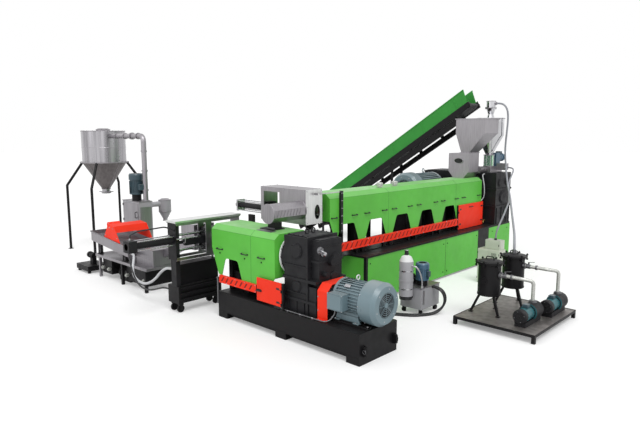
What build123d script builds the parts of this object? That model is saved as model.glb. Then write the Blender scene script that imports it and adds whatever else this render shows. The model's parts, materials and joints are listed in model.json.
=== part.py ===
"""Two-stage plastic recycling extruder line, in millimetres, +Z up.

The plan datum is the point where the two barrel axes cross: the first extruder runs along Y
with its motor end at +Y, and the second runs along X with its motor end at +X. At the very
end every piece is shifted so that the origin is the bottom centre of the whole line.
"""
import math
import os

from build123d import *

# Clearances and sheet metal shared by the whole line
FIT = 0.3
COVER_SHEET = 6
COVER_TOP_INSET = 90
GUARD_SHEET = 5
GUARD_GAP = 30
HINGE_PIN = 5
HINGE_CLEARANCE = 0.05
HINGE_KNUCKLE = 7.5
HINGE_LENGTH = 40
HINGE_OFFSET = 8
HINGE_LEAF = 34

# Second extruder: base, barrel and cover
SECOND_BASE_START = -760
SECOND_BASE_END = 2030
SECOND_BASE_WIDTH = 760
SECOND_BASE_TOP = 400
FLOOR_GAP = 40
LUG_HOLE_RADIUS = 20
LUG_THICKNESS = 25
SECOND_AXIS_Z = 1110
SECOND_COVER_START = -960
SECOND_COVER_END = 480
SECOND_COVER_WIDTH = 660
SECOND_COVER_LOW = 650
SECOND_COVER_TOP = 1412
SECOND_COVER_SHOULDER = 1340
SECOND_WINDOW_X = -480
WINDOW_CORNER = 60
THROAT_X = 110
BARREL_RADIUS = 70
HEATER_RADIUS = 105

# Second extruder: drive
SECOND_GEARBOX_START = 620
SECOND_GEARBOX_END = 1220
SECOND_GEARBOX_WIDTH = 560
SECOND_GEARBOX_TOP = 1430
MOTOR_AXIS_Z = 700
MOTOR_RADIUS = 235
MOTOR_FRONT = 1450
MOTOR_PAD_TOP = 440
COWL_RADIUS = 275
COWL_END = 2143
COWL_LENGTH = 245
COUPLING_X = 1240
COUPLING_GUARD_START = 1250
COUPLING_GUARD_END = 1425

# Red guards beside the second barrel
SECOND_SIDE_GUARD_END = 110
SECOND_SIDE_GUARD_LOW = 533
SECOND_DOOR_START = 150
SECOND_DOOR_END = 660
SECOND_DOOR_LOW = 445
SECOND_DOOR_HIGH = 775
SECOND_DOOR_Y = -380

# First extruder: base, barrel and cover
FIRST_BASE_START = 1590
FIRST_BASE_BREAK = 5840
FIRST_BASE_END = 6870
FIRST_BASE_WIDTH = 1100
FIRST_BASE_TOP = 810
FIRST_PANEL_END = 5360
PANEL_SHEET = 8
FIRST_AXIS_Z = 1600
FIRST_COVER_START = 990
FIRST_COVER_END = 5920
FIRST_COVER_WIDTH = 600
FIRST_COVER_TOP = 1852
FIRST_COVER_SHOULDER = 1780
FIRST_COVER_LOW = 930
FIRST_WINDOW_TOP = 1350
FIRST_WINDOW_CENTRES = (1415, 2160, 2935, 3745, 4590)
FIRST_BARREL_RADIUS = 90
FIRST_HEATER_RADIUS = 125

# Red guards beside the first barrel
FIRST_SIDE_GUARD_START = 1050
FIRST_SIDE_GUARD_END = 4870
FIRST_SIDE_GUARD_LOW = 920
FIRST_SIDE_GUARD_HIGH = 1055
FIRST_DOOR_START = 4905
FIRST_DOOR_END = 5950
FIRST_DOOR_LOW = 820
FIRST_DOOR_HIGH = 1330

# First extruder: drive
FIRST_GEARBOX_START = 6130
FIRST_GEARBOX_END = 6850
FIRST_GEARBOX_FRONT = 530
FIRST_GEARBOX_BACK = -1300
FIRST_GEARBOX_TOP = 1940
FLANGE_REACH = 18
FIRST_NOSE_RADIUS = 285
FIRST_MOTOR_X = -950
FIRST_MOTOR_RADIUS = 320
FIRST_COWL_START = 4770
FIRST_COWL_LENGTH = 280
FIRST_MOTOR_END = 5900
FIRST_STAND_TOP = 1240

# Feeding side
FEED_BOX_WIDTH = 490
FEED_BOX_START = 5420
FEED_BOX_END = 5930
FEED_BOX_HIGH = 2385
HOPPER_SHEET = 6
MAIN_HOPPER_X = (-110, 560)
MAIN_HOPPER_Y = (5450, 6060)
MAIN_HOPPER_TOP = 3110
MAIN_HOPPER_SHOULDER = 2808
MAIN_HOPPER_OUTLET_X = (20, 200)
MAIN_HOPPER_OUTLET_Y = (5480, 5880)
SIDE_HOPPER_X = 200
SIDE_HOPPER_Y = 6400
SIDE_HOPPER_RADIUS = 300
SIDE_HOPPER_TOP = 3130
SIDE_HOPPER_SHOULDER = 2760
SIDE_HOPPER_OUTLET = 2330
SIDE_OUTLET_RADIUS = 75
SIGHT_RADIUS = 100
FEEDER_TOP = 2070
LOADER_RADIUS = 105
LOADER_OUTLET = 135

# Conveyor
CONVEYOR_Y = (5770, 6170)
CONVEYOR_TOP_X = -150
CONVEYOR_TOP_Z = 3750
CONVEYOR_TAIL_X = -5400
CONVEYOR_SLOPE = 32
CONVEYOR_GUARD_HEIGHT = 300
CONVEYOR_BEAM = 130
CONVEYOR_TRUSS = 290
CONVEYOR_DRUM_RADIUS = 55
CONVEYOR_LEGS_X = (-2000, -4300)

# Silo
SILO_X = -7000
SILO_Y = 920
SILO_RADIUS = 500
SILO_TOP = 2860
SILO_CONE_TOP = 2110
SILO_SPOUT_TOP = 1480
SILO_SPOUT_LOW = 1365
SILO_SPOUT_RADIUS = 92
SILO_SHEET = 6
SILO_LEG_OFFSET = 660
SILO_LEG_RADIUS = 30
SILO_KNEE_Z = 1560

# Dryer and conveying pipe
DRYER_X = (-5020, -4350)
DRYER_Y = (320, 620)
DRYER_TOP = 1410
DRYER_MOTOR = (-4660, 450)
CYCLONE_Y = 950
CYCLONE_RADIUS = 130
PIPE_X = -4450
PIPE_Y = 540
PIPE_Z = 2745
PIPE_RADIUS = 52

# Vibrating screen, bench and water tanks
TROUGH_X = (-4720, -3270)
TROUGH_Y = (-530, 140)
TROUGH_HIGH = 886
TROUGH_LOW = 756
TROUGH_DEPTH = 190
TROUGH_SHEET = 8
BENCH_X = (-4560, -2610)
BENCH_Y = (-540, 160)
BENCH_TOP = 455
BENCH_TANKS_X = ((-4420, -4060), (-3480, -2750))
BENCH_TRAY = 50
TANK_LOW = 95
CATCH_BOX_X = (-3240, -2650)
CATCH_BOX_Y = (-380, 70)
CATCH_BOX_TOP = 750

# Screen changer and pelletizer of the second extruder
CHANGER_X = -1370
CHANGER_HALF = 85
CHANGER_GUARD_X = (-1480, -1250)
CHANGER_GUARD_Y = (-780, 440)
CHANGER_GUARD_LOW = 850
CHANGER_GUARD_TOP = 1435
CYLINDER_Z = 1160
CYLINDER_RADIUS = 55
TROLLEY_X = (-1575, -1275)
TROLLEY_Y = (-750, 60)
TROLLEY_LOW = 150
TROLLEY_SHELF = 430
TROLLEY_TOP = 760
CHAMBER_X = (-2010, -1630)

# Screen changer of the first extruder and the hood that joins the two stages
FIRST_CHANGER_X = (-770, 250)
FIRST_CHANGER_Y = (510, 870)
FIRST_CHANGER_LOW = 1420
FIRST_CHANGER_TOP = 1950
FIRST_CHANGER_AXIS_Y = 690
FIRST_CYLINDER_Z = 1570
HOOD_X = 130
HOOD_Z = 1647
HOOD_RADIUS = 142
HOOD_FRONT = -140

# Vacuum station, hydraulic unit and control cabinet
PLATFORM_X = (2050, 3270)
PLATFORM_Y = (1770, 3300)
PLATFORM_TOP = 120
PLATFORM_THICKNESS = 35
VESSEL_CENTRES = ((2340, 2290), (2410, 2950))
VESSEL_RADIUS = 165
VESSEL_LOW = 400
VESSEL_TOP = 880
VESSEL_LID = 28
PUMP_AXES = ((2970, 1940), (3060, 2640))
PUMP_AXIS_Z = 270
TANK_X = (1122, 1511)
TANK_Y = (1750, 2257)
TANK_TOP = 432
ACCUMULATOR = (1300, 1635)
ACCUMULATOR_RADIUS = 108
CABINET_X = (1158, 1586)
CABINET_Y = (4192, 4440)
CABINET_TOP = 655
UPPER_BOX_X = (1272, 1567)
UPPER_BOX_Y = (4250, 4430)
UPPER_BOX_TOP = 832

# Hose routes, first point at the exit
LOADER_HOSE_RADIUS = 20
LOADER_HOSE = [
    (SIDE_HOPPER_X + LOADER_OUTLET, SIDE_HOPPER_Y, 3455),
    (430, SIDE_HOPPER_Y, 3455),
    (525, 6414, 3405),
    (580, 6430, 3290),
    (592, 6438, 3120),
    (580, 6441, 2900),
    (562, 6443, 2660),
    (552, 6445, 2420),
    (585, 6430, 2150),
    (700, 6260, 1890),
    (900, 5906, 1700),
    (1180, 5420, 1550),
    (1480, 4830, 1420),
    (1800, 4190, 1310),
    (2080, 3630, 1235),
    (2280, 3220, 1190),
    (2375, 3020, 1130),
    (VESSEL_CENTRES[1][0], VESSEL_CENTRES[1][1], 1020),
    (VESSEL_CENTRES[1][0], VESSEL_CENTRES[1][1], VESSEL_TOP + VESSEL_LID),
]
FEEDER_HOSE_RADIUS = 16
FEEDER_HOSE = [
    (FIRST_GEARBOX_FRONT + 10, 6600, 2050),
    (635, 6600, 2050),
    (715, 6555, 2025),
    (750, 6465, 1965),
    (765, 6340, 1870),
    (790, 6190, 1755),
    (905, 5950, 1590),
    (1090, 5575, 1465),
    (1260, 5190, 1425),
    (1385, 4850, 1395),
    (1455, 4580, 1270),
    (1478, 4410, 1160),
    (1460, 4340, 1040),
    (1440, 4322, 935),
    (1440, 4322, UPPER_BOX_TOP),
]
TROUGH_HOSE_RADIUS = 22
TROUGH_HOSE = [
    (TROUGH_X[1], -470, 630),
    (-3160, -470, 630),
    (-3050, -530, 585),
    (-2960, -600, 490),
    (-2880, -650, 390),
    (-2770, -685, 320),
    (-2602, -698, 273),
    (-2414, -700, 262),
    (-2203, -700, 325),
    (-2035, -690, 430),
    (-1912, -680, 545),
    (-1790, -660, 628),
    (-1690, -650, 650),
    (TROLLEY_X[0], -650, 650),
]
DRAIN_HOSE_RADIUS = 14
DRAIN_HOSE = [
    (TROUGH_X[1], -505, 712),
    (-3185, -505, 712),
    (-3060, -610, 648),
    (-2900, -680, 545),
    (-2785, -715, 441),
    (-2631, -745, 325),
    (-2501, -757, 252),
    (-2357, -762, 217),
    (-2210, -757, 212),
    (-2050, -745, 240),
    (-1870, -725, 300),
    (-1730, -712, 335),
    (TROLLEY_X[0], -712, 335),
]
HYDRAULIC_HOSE_RADIUS = 17
HYDRAULIC_HOSE = [
    (TANK_X[1], 2050, 405),
    (1606, 2050, 405),
    (1695, 2060, 350),
    (1732, 2070, 240),
    (1718, 2050, 130),
    (1668, 1980, 45),
    (1605, 1880, 17),
    (1545, 1765, 17),
    (1465, 1650, 17),
    (1340, 1560, 17),
    (1200, 1490, 17),
    (1060, 1390, 17),
    (930, 1210, 17),
    (830, 980, 17),
    (775, 770, 17),
    (740, 610, 40),
    (722, 510, 92),
    (720, 445, 105),
    (720, SECOND_BASE_WIDTH / 2, 105),
]
RETURN_HOSE = [
    (TANK_X[1], 2095, 405),
    (1606, 2095, 405),
    (1694, 2105, 350),
    (1727, 2112, 240),
    (1705, 2085, 130),
    (1640, 2005, 45),
    (1573, 1905, 17),
    (1512, 1795, 17),
    (1430, 1695, 17),
    (1305, 1610, 17),
    (1155, 1535, 17),
    (985, 1420, 17),
    (850, 1215, 17),
    (765, 985, 17),
    (712, 770, 17),
    (676, 610, 40),
    (654, 510, 92),
    (650, 445, 105),
    (650, SECOND_BASE_WIDTH / 2, 105),
]
OIL_HOSE_RADIUS = 11
OIL_HOSE = [
    (250, FIRST_GEARBOX_START, 1915),
    (250, 6060, 1915),
    (265, 6010, 1883),
    (290, 5988, 1821),
    (312, 5983, 1746),
    (327, 5985, 1660),
    (328, 5995, 1560),
    (322, 6012, 1480),
    (302, 6022, 1410),
    (275, 6005, 1350),
    (250, 5965, 1322),
    (250, FIRST_COVER_END, 1322),
]


def slab(x_span, y_span, z_span, mode=Mode.ADD):
    """A box given by its low and high corner values."""
    centre = [(low + high) / 2 for low, high in (x_span, y_span, z_span)]
    with Locations(tuple(centre)):
        Box(x_span[1] - x_span[0], y_span[1] - y_span[0], z_span[1] - z_span[0], mode=mode)


def rod(start, end, radius, mode=Mode.ADD):
    """A round bar between the centres of its two ends."""
    axis = Vector(*end) - Vector(*start)
    with Locations(Plane(origin=start, z_dir=axis)):
        Cylinder(radius, axis.length, align=(Align.CENTER, Align.CENTER, Align.MIN), mode=mode)


def bar(start, end, width):
    """A square bar between the centres of its two ends."""
    axis = Vector(*end) - Vector(*start)
    with Locations(Plane(origin=start, z_dir=axis)):
        Box(width, width, axis.length, align=(Align.CENTER, Align.CENTER, Align.MIN))


def prism_along_y(points, y_span, mode=Mode.ADD, top_corner=0):
    """A prism along Y over an outline of (x, z) points, with its top corners rounded if wanted."""
    with BuildSketch(Plane(origin=(0, y_span[1], 0), x_dir=(1, 0, 0), z_dir=(0, -1, 0))) as outline:
        with BuildLine():
            Polyline(*points, close=True)
        make_face()
        if top_corner:
            fillet(outline.vertices().group_by(Axis.Y)[-1], top_corner)
    extrude(to_extrude=outline.sketch, amount=y_span[1] - y_span[0], mode=mode)


def prism_along_x(points, x_span, mode=Mode.ADD, top_corner=0):
    """A prism along X over an outline of (y, z) points, with its top corners rounded if wanted."""
    with BuildSketch(Plane(origin=(x_span[0], 0, 0), x_dir=(0, 1, 0), z_dir=(1, 0, 0))) as outline:
        with BuildLine():
            Polyline(*points, close=True)
        make_face()
        if top_corner:
            fillet(outline.vertices().group_by(Axis.Y)[-1], top_corner)
    extrude(to_extrude=outline.sketch, amount=x_span[1] - x_span[0], mode=mode)


def turned(x, y, points):
    """A solid of revolution about the vertical line at (x, y), over an outline of (radius, z) points."""
    with BuildSketch(Plane(origin=(x, y, 0), x_dir=(1, 0, 0), z_dir=(0, -1, 0))) as outline:
        with BuildLine():
            Polyline(*points, close=True)
        make_face()
    revolve(profiles=outline.sketch, axis=Axis((x, y, 0), (0, 0, 1)))


def trapezoid(centre, low, high, low_width, high_width):
    """Corner points of a window that narrows towards its top."""
    return [
        (centre - low_width / 2, low),
        (centre + low_width / 2, low),
        (centre + high_width / 2, high),
        (centre - high_width / 2, high),
    ]


def slanted_slot(start, low, high, width, lean):
    """Corner points of a slot that leans away from its start as it rises."""
    return [(start, low), (start + width, low), (start + width + lean, high), (start + lean, high)]


def hood_outline(half_width, low, shoulder, top, inset):
    """Outline of a barrel cover: straight sides, a chamfered shoulder and a flat top."""
    flat = half_width - inset
    left = [(-half_width, low), (-half_width, shoulder), (-flat, top)]
    right = [(flat, top), (half_width, shoulder), (half_width, low)]
    return left + right


def motor_shell(origin, direction, radius, length, fins, fin_height):
    """A finned motor body from its drive end, without its fan cowl."""
    axis = Plane(origin=origin, z_dir=direction)
    core = radius - fin_height
    with Locations(axis):
        Cylinder(core, length, align=(Align.CENTER, Align.CENTER, Align.MIN))
        Cylinder(radius, length * 0.09, align=(Align.CENTER, Align.CENTER, Align.MIN))
        with PolarLocations(core + fin_height / 2 - 1, fins):
            Box(fin_height + 2, radius * 0.05, length * 0.92, align=(Align.CENTER, Align.CENTER, Align.MIN))


def cowl_shell(origin, direction, radius, length):
    """A fan cowl: a short drum with a tapered back edge and a recessed inlet."""
    axis = Plane(origin=origin, z_dir=direction)
    with Locations(axis):
        Cylinder(radius, length * 0.78, align=(Align.CENTER, Align.CENTER, Align.MIN))
    with Locations(axis.offset(length * 0.78)):
        Cone(radius, radius * 0.86, length * 0.22, align=(Align.CENTER, Align.CENTER, Align.MIN))
    with Locations(axis.offset(length * 0.92)):
        inlet = radius * 0.58
        Cylinder(inlet, length, align=(Align.CENTER, Align.CENTER, Align.MIN), mode=Mode.SUBTRACT)


def eyebolt(x, y, z, ring, wire):
    """A lifting eye standing on a surface, its ring in the plane across X."""
    centre = (x, y, z + ring + wire * 1.2)
    with BuildSketch(Plane(origin=centre, x_dir=(1, 0, 0), z_dir=(0, -1, 0))) as section:
        with Locations((0, ring)):
            RegularPolygon(wire, 6)
    revolve(profiles=section.sketch, axis=Axis(centre, (1, 0, 0)))
    with Locations((x, y, z - wire)):
        Cylinder(wire * 1.1, wire * 3, align=(Align.CENTER, Align.CENTER, Align.MIN))


def hose(name, points, radius):
    """An eight-sided hose of straight runs and tangent arcs, as large as its runs allow."""
    corners = []
    for before, corner, after in zip(points, points[1:], points[2:]):
        first = Vector(*corner) - Vector(*before)
        second = Vector(*after) - Vector(*corner)
        half_turn = math.radians(first.get_angle(second)) / 2
        corners.append(0.45 * min(first.length, second.length) / math.tan(half_turn))
    with BuildLine() as route:
        FilletPolyline(*points, radius=corners)
    with BuildSketch(Plane(origin=route.line @ 0, z_dir=route.line % 0)) as section:
        RegularPolygon(radius, 8)
    sweep(sections=section.sketch, path=route.line)
    length = sum(edge.length for edge in route.edges())
    print(name, "radii", [round(value) for value in corners], "length", round(length))


# Second extruder base: a welded box on feet, with lifting lugs at its ends
with BuildPart() as second_base:
    half = SECOND_BASE_WIDTH / 2
    foot = 210
    slab((SECOND_BASE_START, SECOND_BASE_END), (-half, half), (90, SECOND_BASE_TOP))
    slab((SECOND_BASE_START + foot, SECOND_BASE_END - foot), (-half + 60, half - 60), (FLOOR_GAP, 91))
    middle = (SECOND_BASE_START + SECOND_BASE_END - foot) / 2
    for start in (SECOND_BASE_START, middle, SECOND_BASE_END - foot):
        slab((start, start + foot), (-half, half), (0, 91))
    for side in (-1, 1):
        pad = (side * 150 - 45, side * 150 + 45)
        slab((MOTOR_FRONT - 20, COWL_END - COWL_LENGTH - 20), pad, (SECOND_BASE_TOP - 1, MOTOR_PAD_TOP))
    for x in (SECOND_BASE_START - 60, SECOND_BASE_END):
        for y in (-half + 60, half - 60 - LUG_THICKNESS):
            slab((x, x + 60), (y, y + LUG_THICKNESS), (120, 230))
    for x in (SECOND_BASE_START - 30, SECOND_BASE_END + 30):
        rod((x, -half, 175), (x, half, 175), LUG_HOLE_RADIUS, Mode.SUBTRACT)
    post = (SECOND_DOOR_END + HINGE_OFFSET, SECOND_DOOR_END + HINGE_OFFSET + 30)
    slab(post, (SECOND_DOOR_Y + 2, SECOND_DOOR_Y + 32), (SECOND_BASE_TOP - 1, SECOND_DOOR_HIGH))
    axis_x = SECOND_DOOR_END + 2
    axis_y = SECOND_DOOR_Y - HINGE_OFFSET
    for z in (SECOND_DOOR_LOW + 50, SECOND_DOOR_HIGH - 90):
        rod((axis_x, axis_y, z - HINGE_LENGTH), (axis_x, axis_y, z - 1), HINGE_KNUCKLE)
        rod((axis_x, axis_y, z - 2), (axis_x, axis_y, z + HINGE_LENGTH), HINGE_PIN)
        slab((axis_x, post[1]), (axis_y, SECOND_DOOR_Y + 3), (z - HINGE_LENGTH, z - 1))

# Second gearbox: a split casting with joint flanges, a bearing nose and lifting eyes
with BuildPart() as second_gearbox:
    half = SECOND_GEARBOX_WIDTH / 2
    step = SECOND_GEARBOX_START + 450
    slab((SECOND_GEARBOX_START, step), (-half, half), (SECOND_BASE_TOP, SECOND_GEARBOX_TOP))
    slab((step - 1, SECOND_GEARBOX_END), (-half + 60, half - 60), (SECOND_BASE_TOP, SECOND_GEARBOX_TOP - 30))
    for z in (560, 840):
        slab((SECOND_GEARBOX_START - 18, SECOND_GEARBOX_END + 8), (-half - 18, half + 18), (z, z + 36))
    nose = (SECOND_COVER_END + 45, 0, SECOND_AXIS_Z)
    rod(nose, (SECOND_GEARBOX_START + 1, 0, SECOND_AXIS_Z), 270)
    rod(nose, (nose[0] + 18, 0, SECOND_AXIS_Z), 288)
    for x in (SECOND_GEARBOX_START + 90, SECOND_GEARBOX_START + 230, SECOND_GEARBOX_START + 370):
        slab((x, x + 16), (-half - 12, half + 12), (SECOND_BASE_TOP, 561))
    slab((step - 1, SECOND_GEARBOX_END + 8), (-half + 42, half - 42), (1110, 1140))
    slab((step - 20, step + 8), (-half - 14, half + 14), (SECOND_BASE_TOP, SECOND_GEARBOX_TOP + 12))
    rod((SECOND_GEARBOX_END - 1, -130, 960), (SECOND_GEARBOX_END + 75, -130, 960), 38)
    for y in (-60, 60):
        eyebolt(SECOND_GEARBOX_START + 220, y, SECOND_GEARBOX_TOP, 34, 9)
    rod((SECOND_GEARBOX_END - 1, 0, MOTOR_AXIS_Z), (COUPLING_X, 0, MOTOR_AXIS_Z), 110)
    rod((SECOND_GEARBOX_END - 1, 0, SECOND_AXIS_Z), (SECOND_GEARBOX_END + 60, 0, SECOND_AXIS_Z), 60)

# Second motor: body, feet, terminal box, lifting eye and shaft end with its coupling half
with BuildPart() as second_motor:
    body_end = COWL_END - COWL_LENGTH
    motor_shell((MOTOR_FRONT, 0, MOTOR_AXIS_Z), (1, 0, 0), MOTOR_RADIUS, body_end - MOTOR_FRONT, 36, 22)
    for side in (-1, 1):
        foot = (side * 150 - 30, side * 150 + 30)
        slab((MOTOR_FRONT + 40, body_end - 60), foot, (MOTOR_PAD_TOP, MOTOR_PAD_TOP + 120))
    slab((MOTOR_FRONT + 20, MOTOR_FRONT + 260), (-330, -190), (600, 800))
    eyebolt(MOTOR_FRONT + 240, 0, MOTOR_AXIS_Z + MOTOR_RADIUS, 30, 8)
    rod((COUPLING_X + 70, 0, MOTOR_AXIS_Z), (MOTOR_FRONT + 1, 0, MOTOR_AXIS_Z), 45)
    rod((COUPLING_X, 0, MOTOR_AXIS_Z), (COUPLING_X + 71, 0, MOTOR_AXIS_Z), 100)

with BuildPart() as second_motor_cowl:
    cowl_shell((COWL_END - COWL_LENGTH, 0, MOTOR_AXIS_Z), (1, 0, 0), COWL_RADIUS, COWL_LENGTH)

# Coupling guard: a bent sheet arch over the coupling
with BuildPart() as second_coupling_guard:
    for width, top, mode in ((290, 870, Mode.ADD), (290 - COVER_SHEET, 870 - COVER_SHEET, Mode.SUBTRACT)):
        arch = hood_outline(width, SECOND_BASE_TOP, top - 90, top, 90)
        prism_along_x(arch, (COUPLING_GUARD_START, COUPLING_GUARD_END), mode=mode)

# Second barrel: tube, heater bands, feed throat and two support feet
with BuildPart() as second_barrel:
    tube_start = CHANGER_X + CHANGER_HALF
    rod((tube_start, 0, SECOND_AXIS_Z), (SECOND_COVER_END + 45, 0, SECOND_AXIS_Z), BARREL_RADIUS)
    for start in range(SECOND_COVER_START + 60, SECOND_COVER_END - 420, 230):
        rod((start, 0, SECOND_AXIS_Z), (start + 190, 0, SECOND_AXIS_Z), HEATER_RADIUS)
    throat_top = SECOND_COVER_TOP - COVER_SHEET
    slab((THROAT_X - 110, THROAT_X + 110), (-100, 100), (SECOND_AXIS_Z - 60, throat_top))
    slab((THROAT_X - 60, THROAT_X + 60), (-50, 50), (SECOND_AXIS_Z, throat_top), mode=Mode.SUBTRACT)
    for x in (SECOND_COVER_START + 220, SECOND_COVER_START + 900):
        slab((x, x + 40), (-90, 90), (SECOND_BASE_TOP, SECOND_AXIS_Z - 40))

# Second barrel cover: a chamfered hood, cut away at its ends and at the window
with BuildPart() as second_barrel_cover:
    half = SECOND_COVER_WIDTH / 2
    start, end = SECOND_COVER_START, SECOND_COVER_END
    low = SECOND_COVER_LOW
    outside = hood_outline(half, low, SECOND_COVER_SHOULDER, SECOND_COVER_TOP, COVER_TOP_INSET)
    inner_top = SECOND_COVER_TOP - COVER_SHEET
    inside = hood_outline(half - COVER_SHEET, low - 1, SECOND_COVER_SHOULDER - 3, inner_top, COVER_TOP_INSET)
    prism_along_x(outside, (start, end))
    prism_along_x(inside, (start + COVER_SHEET, end - COVER_SHEET), mode=Mode.SUBTRACT)
    left_taper = [(start, low - 1), (start + 160, low - 1), (start, 1050)]
    right_taper = [(end, low - 1), (end - 100, low - 1), (end - 30, 760), (end, 800)]
    window = trapezoid(SECOND_WINDOW_X, low - 1, 920, 470, 290)
    for outline in (left_taper, right_taper):
        prism_along_y(outline, (-half - 1, half + 1), mode=Mode.SUBTRACT)
    prism_along_y(window, (-half - 1, half + 1), mode=Mode.SUBTRACT, top_corner=WINDOW_CORNER)
    rod((start - 1, 0, SECOND_AXIS_Z), (start + 20, 0, SECOND_AXIS_Z), HEATER_RADIUS + 20, Mode.SUBTRACT)
    rod((end - 20, 0, SECOND_AXIS_Z), (end + 1, 0, SECOND_AXIS_Z), 200, Mode.SUBTRACT)
    throat = (THROAT_X - 60, THROAT_X + 60)
    slab(throat, (-50, 50), (inner_top - 1, SECOND_COVER_TOP + 1), mode=Mode.SUBTRACT)

# Second side guard: a folded strip with diagonal slots, hung from the cover's edge
with BuildPart() as second_side_guard:
    front = -SECOND_COVER_WIDTH / 2 - GUARD_GAP
    top = SECOND_COVER_LOW
    span = (SECOND_BASE_START, SECOND_SIDE_GUARD_END)
    slab(span, (front, front + GUARD_SHEET), (SECOND_SIDE_GUARD_LOW, top))
    slab(span, (front, -SECOND_COVER_WIDTH / 2 + COVER_SHEET), (top - GUARD_SHEET, top))
    for index in range(7):
        slot = slanted_slot(span[0] + 45 + index * 110, SECOND_SIDE_GUARD_LOW + 22, top - 22, 30, 55)
        prism_along_y(slot, (front - 1, front + GUARD_SHEET + 1), mode=Mode.SUBTRACT)

# Second guard door: a folded panel hinged at its motor end
with BuildPart() as second_guard_door:
    z_span = (SECOND_DOOR_LOW, SECOND_DOOR_HIGH)
    slab((SECOND_DOOR_START, SECOND_DOOR_END), (SECOND_DOOR_Y, SECOND_DOOR_Y + GUARD_SHEET), z_span)
    slab((SECOND_DOOR_END - GUARD_SHEET, SECOND_DOOR_END), (SECOND_DOOR_Y, SECOND_DOOR_Y + 15), z_span)
    axis_x = SECOND_DOOR_END + 2
    axis_y = SECOND_DOOR_Y - HINGE_OFFSET
    for z in (SECOND_DOOR_LOW + 50, SECOND_DOOR_HIGH - 90):
        rod((axis_x, axis_y, z), (axis_x, axis_y, z + HINGE_LENGTH), HINGE_KNUCKLE)
        leaf = (axis_x - HINGE_LEAF, axis_x)
        slab(leaf, (SECOND_DOOR_Y - HINGE_OFFSET, SECOND_DOOR_Y + 1), (z, z + HINGE_LENGTH))
        bore = HINGE_PIN + HINGE_CLEARANCE
        rod((axis_x, axis_y, z - 1), (axis_x, axis_y, z + HINGE_LENGTH + 1), bore, Mode.SUBTRACT)

# Transfer hood: an octagonal duct on a neck, leading from the first changer to the second throat
with BuildPart() as transfer_hood:
    near_end = Plane(origin=(HOOD_X, HOOD_FRONT, HOOD_Z), x_dir=(1, 0, 0), z_dir=(0, -1, 0))
    with BuildSketch(near_end) as octagon:
        RegularPolygon(HOOD_RADIUS, 8, rotation=22.5)
    extrude(to_extrude=octagon.sketch, amount=HOOD_FRONT - FIRST_CHANGER_Y[0])
    slab((THROAT_X - 70, THROAT_X + 70), (-60, 90), (SECOND_COVER_TOP, HOOD_Z - 90))
    slab((THROAT_X - 190, THROAT_X + 110), (-110, 110), (SECOND_COVER_TOP, SECOND_COVER_TOP + 12))

# Second screen changer: block, slide plate, guide rods, end plates and hydraulic cylinder
with BuildPart() as second_screen_changer:
    block = (CHANGER_X - CHANGER_HALF, CHANGER_X + CHANGER_HALF)
    slab(block, (-190, 190), (SECOND_AXIS_Z - 180, SECOND_AXIS_Z + 180))
    slab((CHANGER_X - 30, CHANGER_X + 30), (-560, 640), (SECOND_AXIS_Z - 60, SECOND_AXIS_Z + 60))
    for z in (SECOND_AXIS_Z - 120, SECOND_AXIS_Z + 120):
        rod((CHANGER_X, -740, z), (CHANGER_X, 800, z), 22)
    slab((CHANGER_X - 70, CHANGER_X + 70), (790, 830), (SECOND_AXIS_Z - 170, SECOND_AXIS_Z + 290))
    rod((CHANGER_X, -1400, CYLINDER_Z), (CHANGER_X, -745, CYLINDER_Z), CYLINDER_RADIUS)
    slab(block, (-1530, -1399), (CYLINDER_Z - 85, CYLINDER_Z + 85))
    slab(block, (-746, -700), (SECOND_AXIS_Z - 170, CHANGER_GUARD_TOP - 1))
    slab((CHANGER_X - 70, CHANGER_X + 70), (-765, -690), (TROLLEY_SHELF, SECOND_AXIS_Z - 169))
    rod((CHANGER_X, -701, SECOND_AXIS_Z), (CHANGER_X, -559, SECOND_AXIS_Z), 28)

# Guard around the second screen changer: end walls, rails, posts and lid
with BuildPart() as second_changer_guard:
    x0, x1 = CHANGER_GUARD_X
    y0, y1 = CHANGER_GUARD_Y
    low, top = CHANGER_GUARD_LOW, CHANGER_GUARD_TOP
    slab((x0 - 20, x1 + 20), (y0 - 20, y1 + 20), (top, top + 30))
    for y in (y0, y1 - 12):
        slab((x0, x1), (y, y + 12), (low, top + 1))
    for z in (low, top - 45):
        for x in (x0, x1 - 15):
            slab((x, x + 15), (y0, y1), (z, z + 45))
    for x in (x0, x1 - 15):
        slab((x, x + 15), (-234, -122), (low, top))
    for y in (TROLLEY_Y[0] + 70, TROLLEY_Y[1] - 40):
        slab((x0, x0 + 15), (y, y + 40), (TROLLEY_TOP, low + 1))
    hole = CYLINDER_RADIUS + FIT
    rod((CHANGER_X, y0 - 1, CYLINDER_Z), (CHANGER_X, y0 + 13, CYLINDER_Z), hole, Mode.SUBTRACT)
    window = (SECOND_AXIS_Z - 155, SECOND_AXIS_Z + 155)
    slab((CHANGER_X - 60, CHANGER_X + 60), (y1 - 13, y1 + 1), window, mode=Mode.SUBTRACT)

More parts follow.
